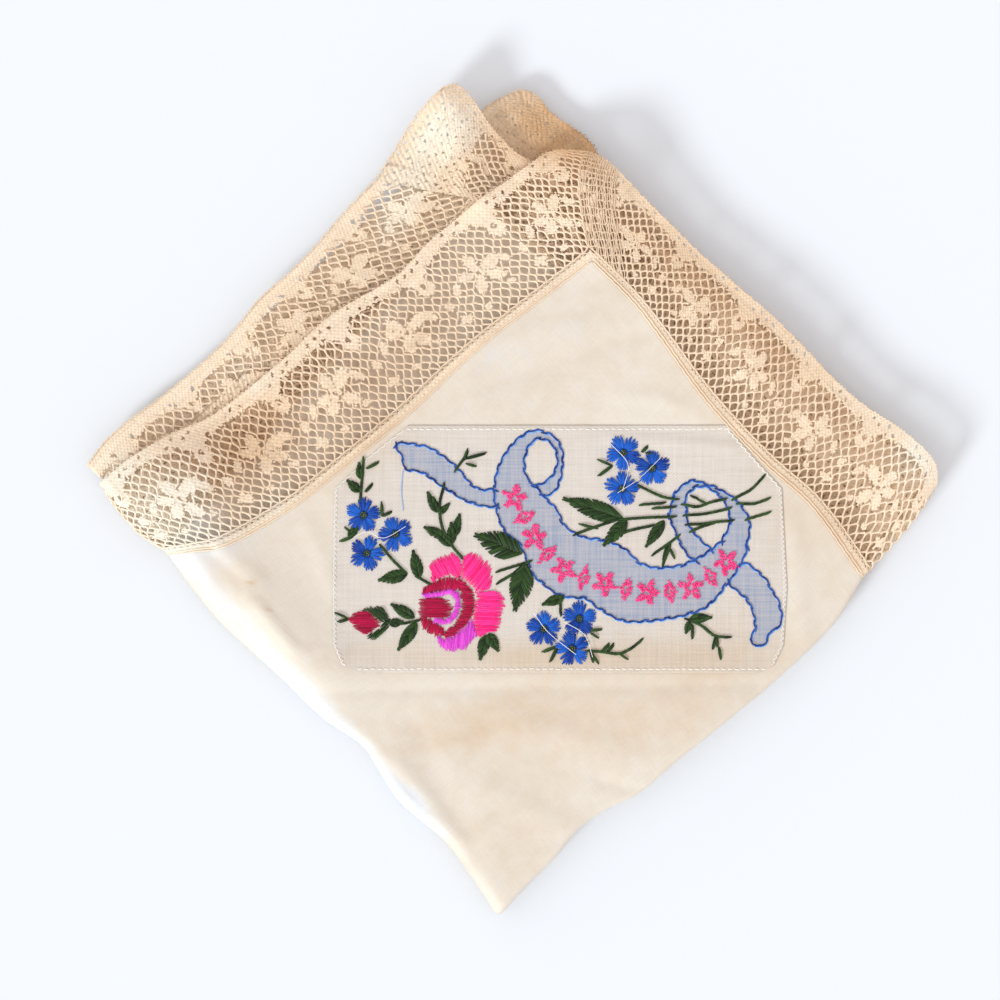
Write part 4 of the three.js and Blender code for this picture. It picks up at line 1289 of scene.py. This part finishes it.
stems = [
    [(-34.3, 0.0), (-33.9, 5.0), (-33.6, 8.8)], [(-12.4, 7.2), (-11.0, 9.1)],
    [(-15.4, 3.0), (-16.3, -1.1), (-15.7, -6.1), (-13.2, -10.7), (-11.0, -13.2)],
    [(-29.2, -10.8), (-27.0, -13.5), (-24.5, -16.0)], [(-20.9, -17.7), (-18.8, -18.9)],
    [(-27.7, -27.8), (-24.9, -28.0), (-21.2, -27.3)], [(-2.6, -16.0), (3.7, -14.1)],
    [(-2.6, -18.5), (0.3, -16.8), (2.6, -14.9)], [(11.1, -22.9), (11.1, -25.3)],
    [(17.8, -34.2), (20.4, -34.4), (24.3, -34.8), (27.0, -33.7), (29.1, -32.1)],
    [(23.3, -4.7), (19.0, -6.1), (14.9, -7.6)], [(21.9, -9.1), (26.3, -7.1), (31.4, -5.9)],
    [(24.8, -4.4), (30.4, -4.0), (36.4, -3.8)], [(37.5, -8.5), (35.2, -10.2), (32.6, -12.0)],
    [(35.8, -10.8), (34.5, -14.1)], [(29.1, 3.1), (34.0, 0.8), (37.0, 0.2)],
    [(30.0, -1.0), (34.0, -0.7)], [(32.9, -1.8), (36.4, -1.6)],
    [(39.5, -1.1), (42.2, -1.5), (45.5, -0.4), (47.9, 0.1)], [(50.8, 0.5), (54.3, 2.4), (56.9, 5.0)],
    [(52.0, -0.8), (55.0, -0.8), (57.8, 0.1)], [(39.9, -3.4), (43.2, -3.2), (46.0, -2.7), (49.0, -2.0)],
    [(53.9, -4.2), (55.9, -3.6), (57.9, -3.0)], [(40.4, -5.5), (43.2, -5.4), (46.0, -5.0), (49.5, -4.7)],
    [(41.3, -6.8), (43.6, -5.9), (45.9, -5.2)], [(40.2, -27.2), (43.2, -28.6), (46.0, -30.7), (48.8, -31.1)],
    [(41.5, 0.6), (43.1, -0.3)],
]
forgetMeNots = [  # middle x, y, turn in degrees
    (-33.6, -3.4, 12), (-26.3, -7.7, 40), (-32.8, -12.1, 0), (7.3, -29.2, 18), (15.4, -26.9, 90),
    (13.8, -33.7, 30), (25.4, 10.7, 50), (32.0, 7.2, 20), (25.1, 2.5, 85),
]
flower = {
    "reach": 4.15, "heart": 1.0, "fan": 0.46, "petals": 5, "stitches": 8, "rootFan": 0.5,
    "rootReach": 0.7, "round": 0.16, "angleJitter": 0.03, "shortest": 0.93, "longest": 1.05,
    "toneJitter": 0.15, "heartStitches": 7, "heartHole": 0.15,
}
leaf = {
    "spacing": 0.42, "slant": 0.26, "swell": 1.15, "slantJitter": 0.02, "rootJitter": 0.05,
    "furthest": 1.04, "lastShare": 0.9,
}
florets = {  # a run of small seeded flowers and lozenges along the band
    "path": [
        (0.2, 1.6), (2.6, -3.4), (6.6, -10.4), (12.2, -15.9), (20.1, -18.6), (29.2, -20.9), (38.4, -20.5),
        (45.2, -17.4), (49.6, -13.2),
    ],
    "count": 13, "reach": 2.85, "seedLength": 0.66, "seedWidth": 0.42, "gridHalf": 3.3,
    "gridStep": 0.48, "jitter": 0.1, "hole": 0.55, "petals": 5, "lozengeHalf": (1.5, 3.0),
    "lozengeHole": 0.42, "lozengeHeart": 0.3,
}


def leafStitches(baseX, baseY, tipX, tipY, width, random):
    # Slanting stitches from the midrib to both sides of a leaf
    base, tip = np.array([baseX, baseY]), np.array([tipX, tipY])
    run = tip - base
    length = np.linalg.norm(run)
    side = np.array([-run[1], run[0]]) / length
    width *= leaf["swell"]
    lines = []
    for share in np.arange(0.0, leaf["lastShare"], leaf["spacing"] / length):
        for hand in (1, -1):
            out = share + leaf["slant"] + random.normal(0, leaf["slantJitter"])
            half = hand * width / 2 * math.sin(math.pi * min(out, 0.97) ** 0.85) ** 0.8
            start = base + run * share + side * random.normal(0, leaf["rootJitter"])
            end = base + run * min(out, leaf["furthest"]) + side * half
            lines.append(straightStitch(start, end, 0.16))
    return lines


def towards(angle):
    return np.array([math.cos(angle), math.sin(angle)])


def flowerStitches(x, y, turn, random):
    heart = np.array([x, y])
    lines, shades = [], []
    for petal in range(flower["petals"]):
        middle = math.radians(turn) + petal * 2 * math.pi / flower["petals"]
        tone = random.uniform(0.1, 0.9)
        for stitch in np.linspace(-1, 1, flower["stitches"]):
            angle = middle + stitch * flower["fan"] + random.normal(0, flower["angleJitter"])
            reach = flower["reach"] * (1 - flower["round"] * stitch ** 2)
            reach *= random.uniform(flower["shortest"], flower["longest"])
            root = middle + stitch * flower["rootFan"]
            start = heart + flower["rootReach"] * flower["heart"] * towards(root)
            lines.append(straightStitch(start, heart + reach * towards(angle), 0.3))
            shades.append(np.clip(tone + random.normal(0, flower["toneJitter"]), 0, 1))
    return lines, shades


def heartStitches(x, y, random):
    # The green knot in the middle of a flower
    heart = np.array([x, y])
    lines = []
    for angle in np.linspace(0, 2 * math.pi, flower["heartStitches"] + 1)[:-1] + random.uniform(0, 1):
        reach = flower["heart"] * random.uniform(0.8, 1.25)
        start = heart + flower["heartHole"] * towards(angle)
        lines.append(straightStitch(start, heart + reach * towards(angle), 0.15, 0.4))
    return lines


def seedPlaces(kind, random):
    # Seed stitches of one floret or lozenge, round its own middle
    steps = np.arange(-florets["gridHalf"], florets["gridHalf"] + 0.1, florets["gridStep"])
    grid = np.stack(np.meshgrid(steps, steps), axis=-1)
    grid = grid.reshape(-1, 2) + random.normal(0, florets["jitter"], (grid.size // 2, 2))
    away, angle = np.hypot(*grid.T), np.arctan2(grid[:, 1], grid[:, 0])
    if kind == "floret":
        petals = florets["reach"] * (0.78 + 0.3 * np.cos(florets["petals"] * angle))
        return grid[(away < petals) & (away > florets["hole"])]
    halfWidth, halfLength = florets["lozengeHalf"]
    spread = np.abs(grid[:, 0]) / halfWidth + np.abs(grid[:, 1]) / halfLength
    return grid[(spread < 1) & ((spread > florets["lozengeHole"]) | (away < florets["lozengeHeart"]))]


def seedStitches(random):
    lines = []
    path = curveThrough(florets["path"])
    for number, share in enumerate(np.linspace(0.02, 0.98, florets["count"])):
        middle = path(np.array(share))
        ahead = path(np.array(min(share + 0.01, 1.0))) - path(np.array(share - 0.01))
        heading = math.atan2(ahead[1], ahead[0])
        c, s = math.cos(heading), math.sin(heading)
        for seedX, seedY in seedPlaces("lozenge" if number % 2 else "floret", random):
            at = middle + np.array([seedX * c - seedY * s, seedX * s + seedY * c])
            half = florets["seedLength"] / 2 * towards(random.uniform(0, math.pi))
            lines.append(straightStitch(at - half, at + half, 0.16))
    return lines


def embroider(name, lines, colour, width, shades=None, girths=taper, sides=5):
    piece = threads(name, lines, girths, width, stitchThread[colour], sides=sides, shades=shades)
    dress(piece, stitchThread[colour], "embroidered_panel")


def stitchRows(name, lines, sizes, colour, seed=1):
    piece = stitches(name, lines, sizes, stitchThread[colour], seed)
    dress(piece, stitchThread[colour], "embroidered_panel")


def makeRibbonOutline():
    navy, sky = [], []
    for points, outward in ribbonEdges:
        edge = scalloped(points, outward)
        navy.append(onPanel(edge, 0.12))
        sky.append(onPanel(edge + np.array(ribbon["haloShift"]), 0.04))
    stitchRows("ribbon_outline", navy, outlineStitch, "navy")
    embroider("ribbon_halo", sky, "sky", ribbon["halo"], girths=1.0)


def makeLooseThreads():
    # A few pale threads have come away, and one blue one hangs from the ribbon's tail
    pale = [onPanel(evenly(points, 0.6), 0.75) for points in looseThreads]
    embroider("loose_threads", pale, "white", 0.16, girths=1.0, sides=3)
    embroider("blue_strand", [onPanel(evenly(blueStrand, 0.6), 0.06)], "sky", 0.26, girths=1.0, sides=3)


def makeEmbroidery():
    random = np.random.default_rng(7)
    makeRibbonOutline()
    makeLooseThreads()
    byThread = {}
    for colour, heading, outline in roseParts.values():
        byThread.setdefault(colour, []).extend(satinFill(outline, heading, random))
    for middle in evenly(innerFrill, 0.3):
        away = middle - np.array(roseHeart)
        away /= np.linalg.norm(away)
        half = away * (0.55 + random.uniform(-0.15, 0.35))
        byThread["violet"].append(straightStitch(middle - half, middle + half, 0.2, 0.3))
    for colour, lines in byThread.items():
        shades = list(random.uniform(0, 1, len(lines)))
        embroider(f"{colour}_satin", lines, colour, satin["width"], shades)
    green = []
    for leaf in leaves:
        green.extend(leafStitches(*leaf, random))
    for x0, y0, x1, y1 in lashes:
        green.append(straightStitch((x0, y0), (x1, y1), 0.25))
        besideEnd = (mix(x0, x1, 0.9) + 0.2, mix(y0, y1, 0.9) - 0.2)
        green.append(straightStitch((x0 + 0.25, y0 - 0.15), besideEnd, 0.2))
    embroider("leaves", green, "green", 0.58, list(random.uniform(0, 1, len(green))))
    stemLines = [onPanel(evenly(points, 0.5), 0.15) for points in stems]
    stitchRows("stems", stemLines, stemStitch, "green", seed=4)
    blue, shades, hearts = [], [], []
    for x, y, turn in forgetMeNots:
        lines, tones = flowerStitches(x, y, turn, random)
        blue.extend(lines)
        shades.extend(tones)
        hearts.extend(heartStitches(x, y, random))
    embroider("forget_me_nots", blue, "blue", 0.5, shades)
    embroider("flower_hearts", hearts, "green", 0.36)
    seeds = seedStitches(random)
    shades = list(random.uniform(0, 1, len(seeds)))
    embroider("floret_seeds", seeds, "seed", florets["seedWidth"], shades, sides=4)


makeEmbroidery()
print("embroidery made")

# Hem stitches of the panel
hem = {
    "inset": 0.8, "zigzag": 0.55, "backShare": 0.8, "rowInset": 0.9, "spacing": 1.5, "length": 0.95,
    "jitter": 0.06, "width": 0.24,
}


def makePanelSeams():
    # Hem stitches round the panel: a fine zigzag at its sides, running stitches above and below
    heights, lefts, rights = np.array(panelOutline).T
    random = np.random.default_rng(3)
    lines = []
    for side, inset in ((lefts, hem["inset"]), (rights, -hem["inset"])):
        y = np.arange(heights[1], heights[-1] - 0.6, hem["zigzag"])
        back = np.where(np.arange(len(y)) % 2 == 0, 0.0, -inset * hem["backShare"])
        lines.append(onPanel(np.stack([np.interp(y, heights, side) + inset + back, y], axis=-1), 0.06))
    for height in (heights[0] + hem["rowInset"], heights[-1] - hem["rowInset"]):
        left, right = np.interp(height, heights, lefts), np.interp(height, heights, rights)
        for x in np.arange(left + hem["inset"], right - hem["inset"], hem["spacing"]):
            end = (x + hem["length"], height + random.normal(0, hem["jitter"]))
            lines.append(straightStitch((x, height), end, 0.1, 0.05))
    embroider("panel_hem_stitches", lines, "white", hem["width"], girths=1.0, sides=4)


makePanelSeams()

# Floor, light and camera
studio = {
    "floor": 3.0, "cameraHeight": 605, "cameraX": -2.6, "lens": 94.9, "sensor": 36, "nearest": 0.01,
    "keyStrength": 2.42, "keyElevation": 28, "keyHeading": 47, "keySoftness": 14, "skyStrength": 1.0,
    "keyColour": (0.88, 0.97, 1.0), "skyColour": (1.0, 0.97, 0.965, 1.0), "table": rgb(219, 222, 227),
}


def makeFloor():
    half = studio["floor"] / 2 / mm
    corners = [(-half, -half, 0), (half, -half, 0), (half, half, 0), (-half, half, 0)]
    piece = newMesh("table", corners, [(0, 1, 2, 3)])
    material, _, shader = newMaterial("paleTable", {"roughness": 0.7, "sheen": 0.0, "specular": 0.2})
    shader.inputs["Base Color"].default_value = studio["table"]
    piece.data.materials.append(material)


def makeLights():
    key = bpy.data.lights.new("window", "SUN")
    key.energy = studio["keyStrength"]
    key.angle = math.radians(studio["keySoftness"])
    key.color = studio["keyColour"]
    holder = bpy.data.objects.new("window", key)
    tilt = math.radians(90 - studio["keyElevation"])
    holder.rotation_euler = (tilt, 0, math.radians(studio["keyHeading"] - 90))
    bpy.context.scene.collection.objects.link(holder)
    world = bpy.data.worlds.new("room")
    world.use_nodes = True
    background = world.node_tree.nodes["Background"]
    background.inputs["Color"].default_value = studio["skyColour"]
    background.inputs["Strength"].default_value = studio["skyStrength"]
    bpy.context.scene.world = world


def makeCamera():
    camera = bpy.data.cameras.new("above")
    camera.lens = studio["lens"]
    camera.sensor_width = studio["sensor"]
    camera.clip_start = studio["nearest"]
    holder = bpy.data.objects.new("above", camera)
    holder.location = (studio["cameraX"] * mm, 0, studio["cameraHeight"] * mm)
    bpy.context.scene.collection.objects.link(holder)
    bpy.context.scene.camera = holder


makeFloor()
makeLights()
makeCamera()
bpy.context.scene.view_settings.view_transform = "Standard"
print("studio made")
